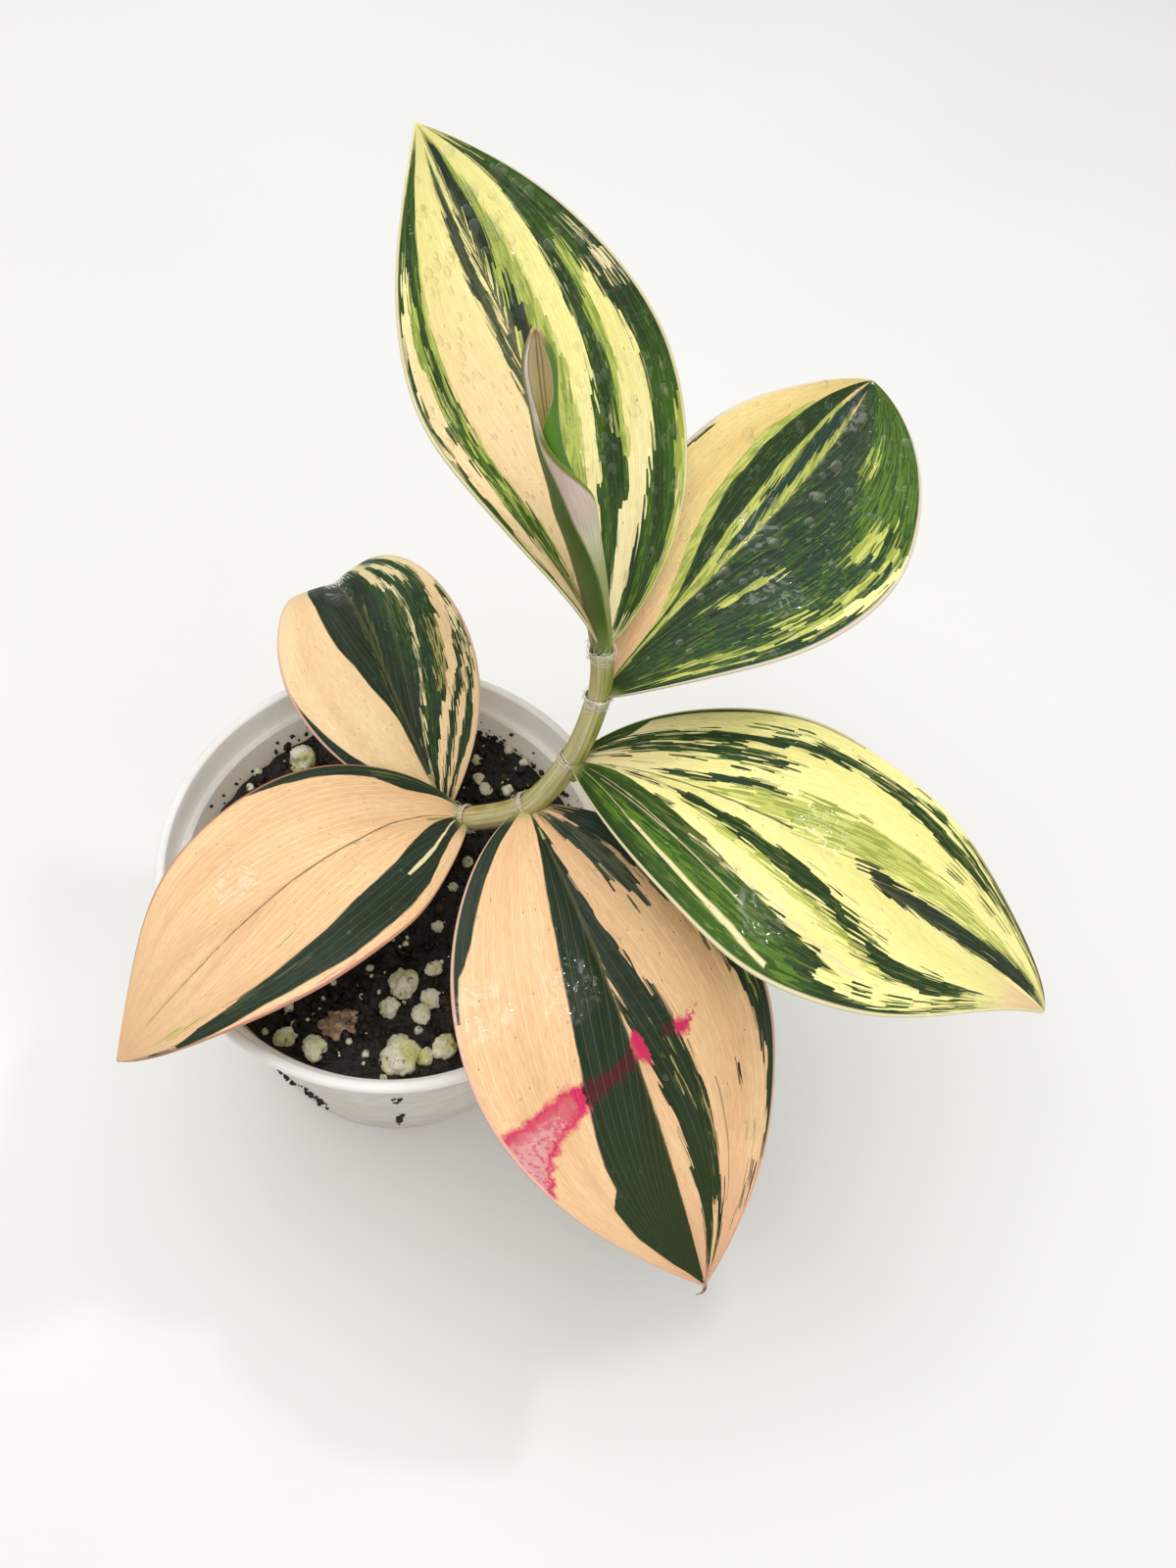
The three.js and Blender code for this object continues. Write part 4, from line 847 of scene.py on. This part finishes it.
def stem_material():
    """Pale sheath skin with lengthwise olive streaks, whiter and papery near the mouths and white on fibres.

    Attribute "stem" is the turn round the stem, the distance along it and how papery the skin is.
    """
    n = new_material("sheath_skin")
    turn, distance, kind = n.attribute("stem")
    round_stem = n.vector(n.math("SINE", turn), n.math("COSINE", turn), distance * 0.035)
    streak = n.noise(round_stem, (5, 5, 2), 5, 0.7)
    cloud = n.noise(round_stem, (1.2, 1.2, 8), 2)
    low = n.lay((202, 178, 120), (152, 132, 62), cloud, *PATCHES)
    high = n.lay((172, 172, 86), (134, 144, 52), cloud, *PATCHES)
    colour = n.lay(low, high, distance, 38, 62, smooth=True)
    colour = n.lay(colour, (104, 116, 40), streak, 0.52, 0.64, 0.7)
    colour = n.lay(colour, (230, 218, 176), streak, 0.46, 0.34, 0.7)
    # Painted highlight: a pale band down each sheath on the side towards the camera and the softbox
    painted_highlight = n.math("COSINE", turn - HIGHLIGHT_TURN) + (cloud - 0.5) * 0.8
    colour = n.lay(colour, (228, 216, 180), painted_highlight, 0.45, 0.95, 0.4)
    papery = n.lay((232, 224, 190), (176, 160, 112), streak, 0.4, 0.6)
    colour = n.lay(colour, papery, kind, 0.0, 1.0)
    colour = n.lay(colour, (244, 240, 222), kind, 1.0, 2.0)
    return n.surface(Base_Color=colour, Roughness=0.38, Normal=n.bump(streak, 0.35, 0.00015),
                     Coat_Weight=0.25, Coat_Roughness=0.12, Subsurface_Weight=0.2,
                     Subsurface_Radius=(0.002, 0.0016, 0.0006), Subsurface_Scale=0.5)


def roll_material():
    """Rolled leaf: green outside with a pink-cream band and an olive margin, cream inside with dark lines."""
    n = new_material("rolled_leaf_surface")
    u, v, inner = n.attribute("leaf")
    margin, band, turn = n.attribute("edge")
    lengthways = n.vector(turn * 2.4, u * 8.0, inner)
    fine = n.noise(lengthways, (7, 1, 1), 3, 0.6)
    tone = n.noise(lengthways, (1, 0.4, 1), 2)
    silver = (106, 118, 70)

    outside = n.lay(silver, (66, 92, 18), band, -4.2, -0.5, smooth=True)
    outside = n.lay(outside, (112, 98, 78), band, -4.0, -5.2, 0.7)
    outside = n.lay(outside, silver, u, 0.5, 0.7, 0.6)
    pale = n.ramp(u, [(place, linear(colour)) for place, colour in (
        (0.12, (132, 146, 72)), (0.34, (166, 174, 116)), (0.45, (214, 208, 174)), (0.54, (210, 188, 170)),
        (0.66, (206, 182, 168)), (0.76, (218, 206, 184)), (0.9, (220, 200, 186)))])
    outside = n.lay(outside, pale, band + tone * 0.5, 0.0, 0.65, smooth=True)
    outside = n.mix(n.span(margin, 1.15, 0.65) * n.span(u, 0.8, 0.74), outside, (116, 126, 48))
    tucked = n.lay((92, 138, 32), (70, 116, 66), turn, -2.8, -1.6)
    tucked = n.lay(tucked, (84, 118, 38), u, 0.8, 0.86)
    outside = n.lay(outside, tucked, turn, -0.7, -1.2)

    inside = n.lay((226, 212, 162), (234, 212, 188), u, 0.75, 0.95)
    inside = n.lay(inside, (168, 160, 112), fine, 0.5, 0.66, 0.35)
    for place, width in ((0.0, 0.06), (-0.3, 0.05)):
        away = n.math("ABSOLUTE", turn - place) + fine * 0.04
        inside = n.lay(inside, (104, 88, 58), away, width + 0.05, width - 0.01, 0.65)
    inside = n.lay(inside, (78, 106, 36), margin, 1.5, 1.1)

    colour = n.mix(inner, outside, inside)
    colour = n.lay(colour, (178, 146, 112), u, 0.965, 0.99, 0.9)
    colour = n.lay(colour, (150, 162, 94), u, 0.2, 0.04, 0.6, smooth=True)
    colour = n.shade(colour, fine, 0.84, 1.14)
    return n.surface(Base_Color=colour, Roughness=0.5, Normal=n.bump(fine, 0.4, 0.0002), Sheen_Weight=0.04,
                     Sheen_Roughness=0.4, Specular_IOR_Level=0.3, Subsurface_Weight=0.5,
                     Subsurface_Radius=(0.004, 0.0035, 0.002), Subsurface_Scale=0.6)


def pot_material():
    """Frosted polypropylene, faintly scuffed and rubbed with soil, and painted tan in patches below the soil
    line where the peat shows through.
    """
    n = new_material("frosted_plastic")
    spot = n.spot()
    cloud = n.noise(spot, 45.0, 3)
    fleck = n.noise(spot, (900, 900, 315), 2)
    colour = n.lay((254, 240, 230), (252, 242, 238), cloud, *PATCHES)
    smear = n.span(cloud, 0.52, 0.72) * n.span(fleck, 0.45, 0.7)
    colour = n.mix(smear * 0.3, colour, (190, 164, 132))
    # Painted show-through: below the soil line the wall is painted tan in patches, standing in for the peat
    # seen through it
    level = n.parts(spot)[2] + cloud * 0.006
    painted_show_through = n.span(n.noise(spot, 160.0, 4, 0.7), *PATCHES, 0.25, 0.6)
    colour = n.mix(n.span(level, 0.070, 0.066) * painted_show_through, colour, (190, 164, 134))
    scuff = n.noise(spot, (260, 260, 1040), 3, 0.7)
    return n.surface(Base_Color=colour, Roughness=n.span(scuff, *NOISE_SPREAD, 0.34, 0.5),
                     Normal=n.bump(scuff, 0.15, 0.0002), Transmission_Weight=0.06, IOR=1.49,
                     Subsurface_Weight=0.8, Subsurface_Radius=(0.006, 0.005, 0.004), Subsurface_Scale=1.0)


def peat_material():
    """Moist peat crumbs with brown fibre and pale grit; attribute "tint" lightens some crumbs."""
    n = new_material("moist_peat")
    spot = n.spot()
    clod = n.noise(spot, 420.0, 4, 0.65)
    grit = n.cells(spot, 900.0)()
    colour = n.lay((12, 9, 8), (36, 27, 20), clod, 0.35, 0.7)
    colour = n.mix(n.attribute("tint")[0] * 0.6, colour, (84, 60, 40))
    colour = n.lay(colour, (190, 178, 150), grit, 0.09, 0.05, 0.6)
    return n.surface(Base_Color=colour, Roughness=0.62, Normal=n.bump(clod + grit * 0.4, 0.9, 0.0006),
                     Specular_IOR_Level=0.4)


def perlite_material():
    """Chalky perlite with algae tint and dark pits."""
    n = new_material("algae_tinted_perlite")
    spot = n.spot()
    pits = n.cells(spot, 900.0)()
    dirt = n.noise(spot, 700.0, 4, 0.7)
    colour = n.lay((240, 236, 216), (206, 208, 126), n.noise(spot, 260.0, 3), 0.46, 0.68)
    colour = n.lay(colour, (52, 42, 28), dirt, 0.58, 0.66, 0.85)
    colour = n.lay(colour, (112, 104, 66), pits, 0.16, 0.05, 0.6)
    return n.surface(Base_Color=colour, Roughness=0.75, Normal=n.bump(pits + dirt, 0.6, 0.0003))


def bark_material():
    n = new_material("bark_chip")
    grain = n.noise(n.spot(), (380, 620, 620), 4, 0.75)
    return n.surface(Base_Color=n.lay((70, 50, 36), (196, 164, 136), grain, *PATCHES), Roughness=0.7,
                     Normal=n.bump(grain, 0.8, 0.0004))


def water_material():
    """Clear water: see-through in the middle, with painted shade along the rim that faces the lamp and
    painted light opposite.
    """
    n = new_material("water_drop")
    facing = n.parts(n.node("ShaderNodeTexCoord")("Normal"))
    # Painted shade on the side of each drop that faces the lamp and painted light on the side away from it
    colour = n.lay((250, 250, 232), (70, 82, 36), facing[0] * 0.65 + facing[1] * 0.76, -0.2, 0.2)
    rim = n.node("ShaderNodeLayerWeight", {"Blend": 0.3})("Facing")
    return n.surface(Base_Color=colour, Roughness=0.05, IOR=1.33, Alpha=n.span(rim, 0.12, 0.65, 0.04, 0.42),
                     Specular_IOR_Level=0.35)


def floor_material():
    n = new_material("pale_floor")
    colour = n.mix(n.noise(n.spot(), 6.0, 3), (226, 226, 224), (234, 234, 232))
    return n.surface(Base_Color=colour, Roughness=0.6, Specular_IOR_Level=0.3)


def sheath_span(k):
    """Where sheath k begins and ends along the stem."""
    return soil_at - HOLE_DEPTH if k == 0 else mouth_at[k - 1] - SHEATH_OVERLAP, mouth_at[k]


def sheath_radius(k, distance):
    """Outer radius of sheath k: narrow inside the mouth below, then full, with a slight flare at its own."""
    start, end = sheath_span(k)
    mouths = [leaf["mouth"] for leaf in LEAVES.values()]
    root = mouths[max(0, k - 1)] - SHEATH_WALL - 0.1
    body = mouths[k] - MOUTH_FLARE
    widen = np.clip((distance - start - SHEATH_OVERLAP - MOUTH_CLEARANCE) / SHEATH_SPREAD, 0, 1)
    widen = widen * widen * (3 - 2 * widen)
    flare = np.clip((distance - end + SHEATH_FLARE) / SHEATH_FLARE, 0, 1) ** 2
    return root + (body - root) * widen + MOUTH_FLARE * flare


def sheath_mesh(name, k, material):
    """Sheath k with its papery mouth ring, the hairs on it and the short stalk that carries the blade."""
    leaf = LEAVES[name]
    mouth = leaf["mouth"]
    draw = np.random.default_rng(SEEDS["sheath"] + k)
    parts = Parts("stem")
    start, end = sheath_span(k)
    along = np.linspace(start, end, SHEATH_RINGS)
    turns = circle(SHEATH_SIDES)
    ridge = SHEATH_RIDGE * np.sin(13 * turns + k) * np.clip((along - start - 3) / 4, 0, 1)[:, None]
    radii = sheath_radius(k, along)[:, None]
    outer = rings_on_stem(along, radii + ridge, SHEATH_SIDES)
    inner = rings_on_stem(along, radii - SHEATH_WALL, SHEATH_SIDES)
    stations = np.concatenate([along, along[::-1], along[:1]])[:, None]
    papery = (0.65 * np.exp(-((end - stations) / 2.6) ** 2)
              + 0.3 * np.exp(-((stations - start - 3) / 2.0) ** 2))
    parts.add(*loft([*outer, *inner[::-1], outer[0]], caps=False), stem=labels(turns, stations, papery))

    # Thin papery collar round the mouth, uneven at its top
    height = 0.7 + 0.35 * np.sin(2 * turns + k) + 0.25 * draw.random(SHEATH_SIDES)
    levels = []
    for share, grow in COLLAR:
        centre, *sides = stem_frame(end + share * height * 0.6)
        levels.append(centre + (mouth + grow) * around(turns, *sides))
    parts.add(*loft(levels, caps=False), stem=labels(turns, np.full((len(COLLAR), 1), end), 1.0))

    # Pale curled fibres that lie loosely round the collar
    t = np.linspace(0, 1, FIBRE_STEPS)
    thin = FIBRE_RADIUS * np.sqrt(np.clip(1 - t, 0.04, 1))
    for _ in range(FIBRES):
        turn = 2 * np.pi * draw.random() + draw.normal(0, 0.9) * t + 0.25 * np.sin(7 * t + 6 * draw.random())
        rise = (end + draw.uniform(-1.6, 1.2) + draw.normal(0, 1.3) * t
                + 0.3 * np.sin(6 * t + 6 * draw.random()))
        centre, *sides = stem_frame(rise)
        out = around(turn, *sides)
        lift = 0.12 + draw.random() * 1.1 * np.sin(np.pi * t) * t
        spine = centre + out * (mouth + lift)[:, None]
        beside = np.cross(out, np.gradient(spine, axis=0))
        fibre = spine[:, None] + thin[:, None, None] * around(circle(3), out[:, None], beside[:, None])
        parts.add(*loft(fibre), stem=(0, end, 2.0))

    # The stalk
    _, place, _, above = midrib(leaf)
    ahead = place[4] - place[0]
    ahead[2] = 0
    root = stem_frame(end - STALK_DROP)[0] + unit(ahead) * (mouth - 0.5)
    near, far = (round(share * STALK_REACH / leaf["length"] * MIDRIB_STEPS) for share in (0.5, 1))
    spine = curve_through([root, place[near] - 1.0 * above[near], place[far] - 0.35 * above[far]], 12)
    girth = STALK_RADIUS * np.linspace(1.08, 0.55, len(spine))
    parts.add(*loft(tube_along(spine, above[near], girth, TUBE_SIDES)),
              stem=labels(circle(TUBE_SIDES), end + np.arange(len(spine))[:, None] * 0.5, 0.0))
    return parts.build(name + "_sheath", material)


def hook_mesh(material):
    """The withered, hooked tip of the front leaf."""
    _, place, across, above = midrib(LEAVES["leaf_front"])
    ahead = unit(place[-1] - place[-5])
    spine = curve_through([place[-1] + a * ahead + b * across[-1] for a, b in HOOK], 5)
    tube = tube_along(spine, above[-1], np.linspace(HOOK_ROOT, HOOK_END, len(spine)), 12)
    return build("leaf_front_hook", *loft(tube), material)


def cane_mesh(material):
    """The stem's core, which tapers from the soil to below the rolled leaf."""
    along = np.linspace(soil_at - HOLE_DEPTH, roll_start - GAP, 60)[:, None]
    radii = CANE_FOOT + (CANE_TOP - CANE_FOOT) * (along - along[0]) / (along[-1] - along[0])
    rings = rings_on_stem(along[:, 0], radii, TUBE_SIDES)
    return build("cane_core", *loft(rings), material, {"stem": labels(circle(TUBE_SIDES), along, 0.0)})


def rounded(pairs, place):
    """Values read along [(place, value), ...] on straight lines with their corners rounded off."""
    places, values = np.array(pairs, float).T
    spread = np.linspace(-2, 2, 13)[:, None]
    weight, shift = np.exp(-0.5 * spread ** 2), spread * ROLL_ROUNDING
    return (np.interp(place + shift, places, values) * weight).sum(0) / weight.sum()


def roll_mesh(material):
    """The new leaf, a thin sheet rolled round the stem line that opens towards its tip.

    Attribute "leaf" holds u, v and 1 inside; attribute "edge" holds millimetres from the outer margin and
    from the pale band's start, and the turn from the back of the roll.
    """
    us, vs = np.linspace(0, 1, ROLL_STATIONS), np.linspace(0, 1, ROLL_COLUMNS)
    along = roll_start + (stem_at[-1] - roll_start) * us
    centre, *sides = (vectors[:, None] for vectors in stem_frame(along))
    outermost, outer_wrap, inner_wrap, step, band = (rounded(pairs, us)[:, None] for pairs in (
        ROLL_RADIUS, ROLL_OUTER_WRAP, ROLL_INNER_WRAP, ROLL_STEP, ROLL_BAND))
    wound = np.radians(outer_wrap + inner_wrap) * (1 - vs)
    turn = np.radians(outer_wrap) - wound
    radius = np.maximum(outermost - step * np.minimum(1, outermost / 2.2) * wound / (2 * np.pi), ROLL_CORE)
    direction = around(math.radians(ROLL_BACK) + turn, *sides)
    outer = centre + radius[..., None] * direction
    inner = outer - np.minimum(ROLL_WALL, radius * 0.8)[..., None] * direction
    both = lambda front, back: np.concatenate([front, back[:, ::-1]], axis=1)
    points, faces = loft(both(outer, inner), caps=False)
    last = (ROLL_STATIONS - 1) * 2 * ROLL_COLUMNS
    for j in range(ROLL_COLUMNS - 1):
        k = 2 * ROLL_COLUMNS - 1 - j
        faces += [[j + 1, j, k, k - 1], [last + j, last + j + 1, last + k - 1, last + k]]
    leaf = both(*(labels(us[:, None], vs, side) for side in (0.0, 1.0)))
    edge = labels(radius * wound, radius * (turn - np.radians(band)), turn)
    return build("new_leaf_roll", points, faces, material, {"leaf": leaf, "edge": both(edge, edge)})


def pot_mesh(material):
    """The pot turned from its profile, with its drain holes cut."""
    corners = np.arange(len(POT_PROFILE))
    long_steps = [np.linspace(a, a + 1, POT_LONG_STEPS + 1) for a in POT_LONG_LINES]
    cuts = np.unique(np.concatenate([corners, *long_steps]))
    radius, height = read_along(corners, np.array(POT_PROFILE, float), cuts[1:-1]).T[..., None]
    pot = build("pot_shell", *loft(level_ring(radius, POT_SIDES, height)), material)
    holes = Parts()
    for angle in circle(DRAIN_HOLES) + math.pi / DRAIN_HOLES:
        middle = polar(angle, DRAIN_RING_RADIUS, 0)
        holes.add(*loft([level_ring(DRAIN_HOLE_RADIUS, 32, z) + middle for z in (-1.0, 3.0)]))
    cutter = holes.build("drain_holes", material)
    cut = pot.modifiers.new("drain", "BOOLEAN")
    cut.object, cut.operation, cut.solver = cutter, "DIFFERENCE", "EXACT"
    with bpy.context.temp_override(object=pot, active_object=pot):
        bpy.ops.object.modifier_apply(modifier=cut.name)
    bpy.data.objects.remove(cutter)
    pot.data.set_sharp_from_angle(angle=math.radians(40))
    return pot


def soil_height(x, y):
    wide = np.sin(0.16 * x + 0.6) * np.cos(0.19 * y - 0.4)
    fine = np.sin(0.53 * x + 1.9) * np.sin(0.47 * y + 0.8) + 0.6 * np.sin(0.9 * (x + y))
    return SOIL_TOP + SOIL_ROUGHNESS * (0.7 * wide + 0.45 * fine)


def wall_radius(wall, z):
    radii, heights = zip(*wall)
    return np.interp(z, heights, radii)


def from_stem(x, y):
    return math.hypot(x - AT_SOIL[0], y - AT_SOIL[1])


def random_spot(chance, reach):
    """A random place round the pot's axis, and its distance from the axis."""
    angle, out = 2 * math.pi * chance(), reach * math.sqrt(chance())
    return *polar(angle, out, 0)[:2], out


def icosphere(divisions):
    """Unit points and faces of a sphere of even triangles."""
    t = (1 + 5 ** 0.5) / 2
    points = [(-1, t, 0), (1, t, 0), (-1, -t, 0), (1, -t, 0), (0, -1, t), (0, 1, t), (0, -1, -t),
              (0, 1, -t), (t, 0, -1), (t, 0, 1), (-t, 0, -1), (-t, 0, 1)]
    faces = [(0, 11, 5), (0, 5, 1), (0, 1, 7), (0, 7, 10), (0, 10, 11), (1, 5, 9), (5, 11, 4),
             (11, 10, 2), (10, 7, 6), (7, 1, 8), (3, 9, 4), (3, 4, 2), (3, 2, 6), (3, 6, 8), (3, 8, 9),
             (4, 9, 5), (2, 4, 11), (6, 2, 10), (8, 6, 7), (9, 8, 1)]
    points = [unit(np.array(p)) for p in points]
    for _ in range(divisions):
        middles, finer = {}, []
        for a, b, c in faces:
            ids = []
            for pair in ((a, b), (b, c), (c, a)):
                key = tuple(sorted(pair))
                if key not in middles:
                    middles[key] = len(points)
                    points.append(unit(points[pair[0]] + points[pair[1]]))
                ids.append(middles[key])
            finer += [(a, ids[0], ids[2]), (b, ids[1], ids[0]), (c, ids[2], ids[1]), tuple(ids)]
        faces = finer
    return np.array(points), faces


BALLS = {k: icosphere(k) for k in (1, 2, 3)}


def pushed(points, scale, shift):
    """How far noise pushes each point in or out."""
    return np.array([noise.fractal(Vector(point) * scale + shift, 0.8, 2.0, 3) for point in points])[:, None]


def lump(draw, divisions, centre, radius, stretch, rough, grain=1.6):
    """An irregular lump: a ball pushed in and out by noise, turned at random."""
    points, faces = BALLS[divisions]
    shift = Vector(draw.random(3) * 90)
    shape = points * (1 + rough * pushed(points, grain, shift)) * stretch
    a, b, c = draw.random(3) * 2 * np.pi
    turned = np.array(Matrix.Rotation(a, 3, "X") @ Matrix.Rotation(b, 3, "Y") @ Matrix.Rotation(c, 3, "Z"))
    return shape @ turned.T * radius + centre, faces


def soil_mesh(material):
    """Peat: a closed body with a crumbly top, loose crumbs on it and crumbs stuck to the pot's wall."""
    draw = np.random.default_rng(SEEDS["soil"])
    parts = Parts("tint")
    rings = [level_ring(wall_radius(POT_INSIDE, z) - SOIL_CLEARANCE, SOIL_SPOKES, z)
             for z in (SOIL_BOTTOM, 25.0, 50.0)]
    for share in np.linspace(1, 0.012, SOIL_RINGS) ** 0.85:
        x, y, _ = level_ring(share * SOIL_RIM, SOIL_SPOKES, 0).T
        rough = np.array([noise.fractal(Vector((a, b, 0)) * 0.9, 0.9, 2.1, 4) for a, b in zip(x, y)])
        dip = SOIL_DIP * np.exp(-(((x - AT_SOIL[0]) ** 2 + (y - AT_SOIL[1]) ** 2) / 16))
        rings.append(labels(x, y, soil_height(x, y) + SOIL_CRUMBLE * rough - dip))
    parts.add(*loft(rings), tint=(0.0, 0, 0))
    for _ in range(CRUMB_COUNT):
        x, y, out = random_spot(draw.random, CRUMB_REACH)
        radius = 0.35 + 0.9 * draw.random() ** 2.2
        if from_stem(x, y) < CRUMB_CLEARANCE + radius or out + radius > CRUMB_LIMIT:
            continue
        stretch = (1, 0.75 + 0.5 * draw.random(), 0.6 + 0.3 * draw.random())
        crumb = lump(draw, 1, (x, y, soil_height(x, y) + 0.25 * radius), radius, stretch, 0.5)
        parts.add(*crumb, tint=(draw.random() ** 4, 0, 0))
    for _ in range(WALL_CRUMBS):
        angle = math.radians(draw.normal(95, 62))
        z = SOIL_TOP + 0.3 + 5.0 * draw.random() ** 3
        radius = (0.2 + 0.8 * draw.random() ** 2) * (1 - 0.1 * (z - SOIL_TOP))
        spot = polar(angle, wall_radius(POT_INSIDE, z) - 0.45 * radius, z)
        crumb = lump(draw, 2, spot, radius, (1, 0.7, 1), 0.9)
        parts.add(*crumb, tint=(draw.random() ** 3, 0, 0))
    for centre_angle, spread, low, high, count in OUTSIDE_CRUMBS:
        for _ in range(count):
            angle = math.radians(draw.normal(centre_angle, spread))
            z = draw.uniform(low, high)
            radius = 0.25 + 0.55 * draw.random() ** 2
            spot = polar(angle, wall_radius(POT_WALL, z) + 0.1 * radius, z)
            parts.add(*lump(draw, 1, spot, radius, (1, 1, 1), 0.5), tint=(0.0, 0, 0))
    return parts.build("peat", material)


def perlite_places():
    """The grains of the CAD soil: the big ones, then the same repeatable draw."""
    state = PERLITE_SEED

    def draw():
        nonlocal state
        state = (state * 1664525 + 1013904223) % 2 ** 32
        return state / 2 ** 32

    grains = list(BIG_GRAINS)
    while len(grains) < len(BIG_GRAINS) + PERLITE_COUNT:
        x, y, _ = random_spot(draw, PERLITE_REACH)
        radius = 1.0 + 0.9 * draw() ** 2
        clear = all(math.hypot(x - a, y - b) > c + radius + PERLITE_GAP for a, b, c in grains)
        if clear and from_stem(x, y) > PERLITE_CLEARANCE:
            grains.append((x, y, radius))
    return grains


def perlite_mesh(material):
    """The perlite: the solids' grains, small listed ones and a scatter of grit."""
    draw = np.random.default_rng(SEEDS["perlite"])
    parts = Parts()
    for x, y, radius in perlite_places() + SMALL_GRAINS:
        centre = (x, y, soil_height(x, y) + 0.2 * radius)
        stretch = (1, 0.85 + 0.25 * draw.random(), 0.8 + 0.2 * draw.random())
        parts.add(*lump(draw, 3 if radius > 1.5 else 2, centre, radius, stretch, 0.3, 1.25))
    for _ in range(GRIT_COUNT):
        x, y, _ = random_spot(draw.random, GRIT_REACH)
        radius = 0.18 + 0.4 * draw.random() ** 2
        if from_stem(x, y) > GRIT_CLEARANCE:
            parts.add(*lump(draw, 1, (x, y, soil_height(x, y) + 0.5), radius, (1, 1, 0.8), 0.3))
    return parts.build("perlite_grains", material)


def bark_mesh(material):
    points, faces = BALLS[3]
    shape = points * (1 + 0.45 * pushed(points, 2.2, Vector())) * BARK_HALF_SIZE
    turned = np.array(Matrix.Rotation(math.radians(35), 3, "Z") @ Matrix.Rotation(0.2, 3, "X"))
    centre = (*BARK_PLACE, soil_height(*BARK_PLACE) + 0.5)
    return build("bark_chip", shape @ turned.T + centre, faces, material)


def drops_mesh(material):
    """Shallow water caps that sit on the blades' upper faces."""
    draw = np.random.default_rng(SEEDS["drops"])
    parts = Parts()
    slopes = [0.5 * np.pi * k / DROP_LEVELS for k in range(DROP_LEVELS)]
    for name, (count, small, large) in DROPS.items():
        us = 0.12 + 0.84 * draw.beta(1.5, 1.4, count)
        vs = draw.uniform(-0.93, 0.93, count)
        sizes = small + (large - small) * draw.random(count) ** 1.8
        for u, v, size in zip(us, vs, sizes):
            grid, facing, _ = blade_points(LEAVES[name], u + np.array([-0.002, 0, 0.002]),
                                           v + np.array([-0.004, 0, 0.004]))
            centre, up = grid[1, 1], facing[1, 1]
            along = unit(grid[2, 1] - grid[0, 1])
            long = 1 + 0.25 * draw.random()
            height = size * (0.3 + 0.12 * draw.random())
            levels = [(1.0, -0.05), *((math.cos(s), height * math.sin(s)) for s in slopes), (0.06, height)]
            flat = size * around(circle(DROP_SIDES), long * along, np.cross(up, along))
            rings = [centre + up * (BLADE_THICKNESS / 2 + lift) + share * flat for share, lift in levels]
            parts.add(*loft(rings))
    return parts.build("water_drops", material)


skin = stem_material()
for k, name in enumerate(LEAVES):
    slot = "leaf_peach" if name in PEACH_LEAVES else "leaf_yellow_green"
    ride(blade_mesh(name, leaf_material(name)), slot, name)
    ride(sheath_mesh(name, k, skin), "stem")
ride(cane_mesh(skin), "stem", "cane")
ride(roll_mesh(roll_material()), "rolled_leaf", "new_leaf")
ride(pot_mesh(pot_material()), "frosted_plastic", "pot")
ride(soil_mesh(peat_material()), "peat", "soil")
ride(perlite_mesh(perlite_material()), "perlite")
bark = bark_material()
ride(bark_mesh(bark), "peat")
ride(hook_mesh(bark), "leaf_peach")
ride(drops_mesh(water_material()), "water")


def floor_plane():
    steps = np.linspace(-FLOOR_HALF, FLOOR_HALF, FLOOR_LINES) / MM
    corners = [(i * FLOOR_LINES + j) for i in range(FLOOR_LINES - 1) for j in range(FLOOR_LINES - 1)]
    faces = [[k, k + FLOOR_LINES, k + FLOOR_LINES + 1, k + 1] for k in corners]
    return build("floor", labels(steps[:, None], steps, 0.0), faces, floor_material())


def area_light(name, place, target, size, watts):
    data = bpy.data.lights.new(name, "AREA")
    data.shape, data.size, data.energy = "SQUARE", size, watts
    lamp = bpy.data.objects.new(name, data)
    lamp.location = place
    lamp.rotation_euler = (Vector(target) - Vector(place)).to_track_quat("-Z", "Y").to_euler()
    bpy.context.scene.collection.objects.link(lamp)


def camera():
    pitch, roll = CAMERA_PITCH, CAMERA_ROLL
    forward = Vector((0, math.cos(pitch), -math.sin(pitch)))
    level, rise = Vector((1, 0, 0)), Vector((0, math.sin(pitch), math.cos(pitch)))
    right = math.cos(roll) * level + math.sin(roll) * rise
    up = math.cos(roll) * rise - math.sin(roll) * level
    data = bpy.data.cameras.new("camera")
    data.sensor_fit, data.sensor_height, data.lens = "VERTICAL", CAMERA_SENSOR, CAMERA_LENS
    data.clip_start, data.clip_end = 0.01, 20.0
    eye = bpy.data.objects.new("camera", data)
    turned = Matrix((right, up, -forward)).transposed().to_4x4()
    eye.matrix_world = Matrix.Translation(Vector(CAMERA_PLACE) * MM) @ turned
    bpy.context.scene.collection.objects.link(eye)
    bpy.context.scene.camera = eye


floor_plane()
for name, lamp in LAMPS.items():
    area_light(name, *lamp)
camera()

world = bpy.data.worlds.new("studio")
world.use_nodes = True
sky = world.node_tree.nodes["Background"].inputs
sky["Color"].default_value, sky["Strength"].default_value = SKY_COLOUR, SKY_STRENGTH
bpy.context.scene.world = world
bpy.context.scene.view_settings.view_transform = "Standard"
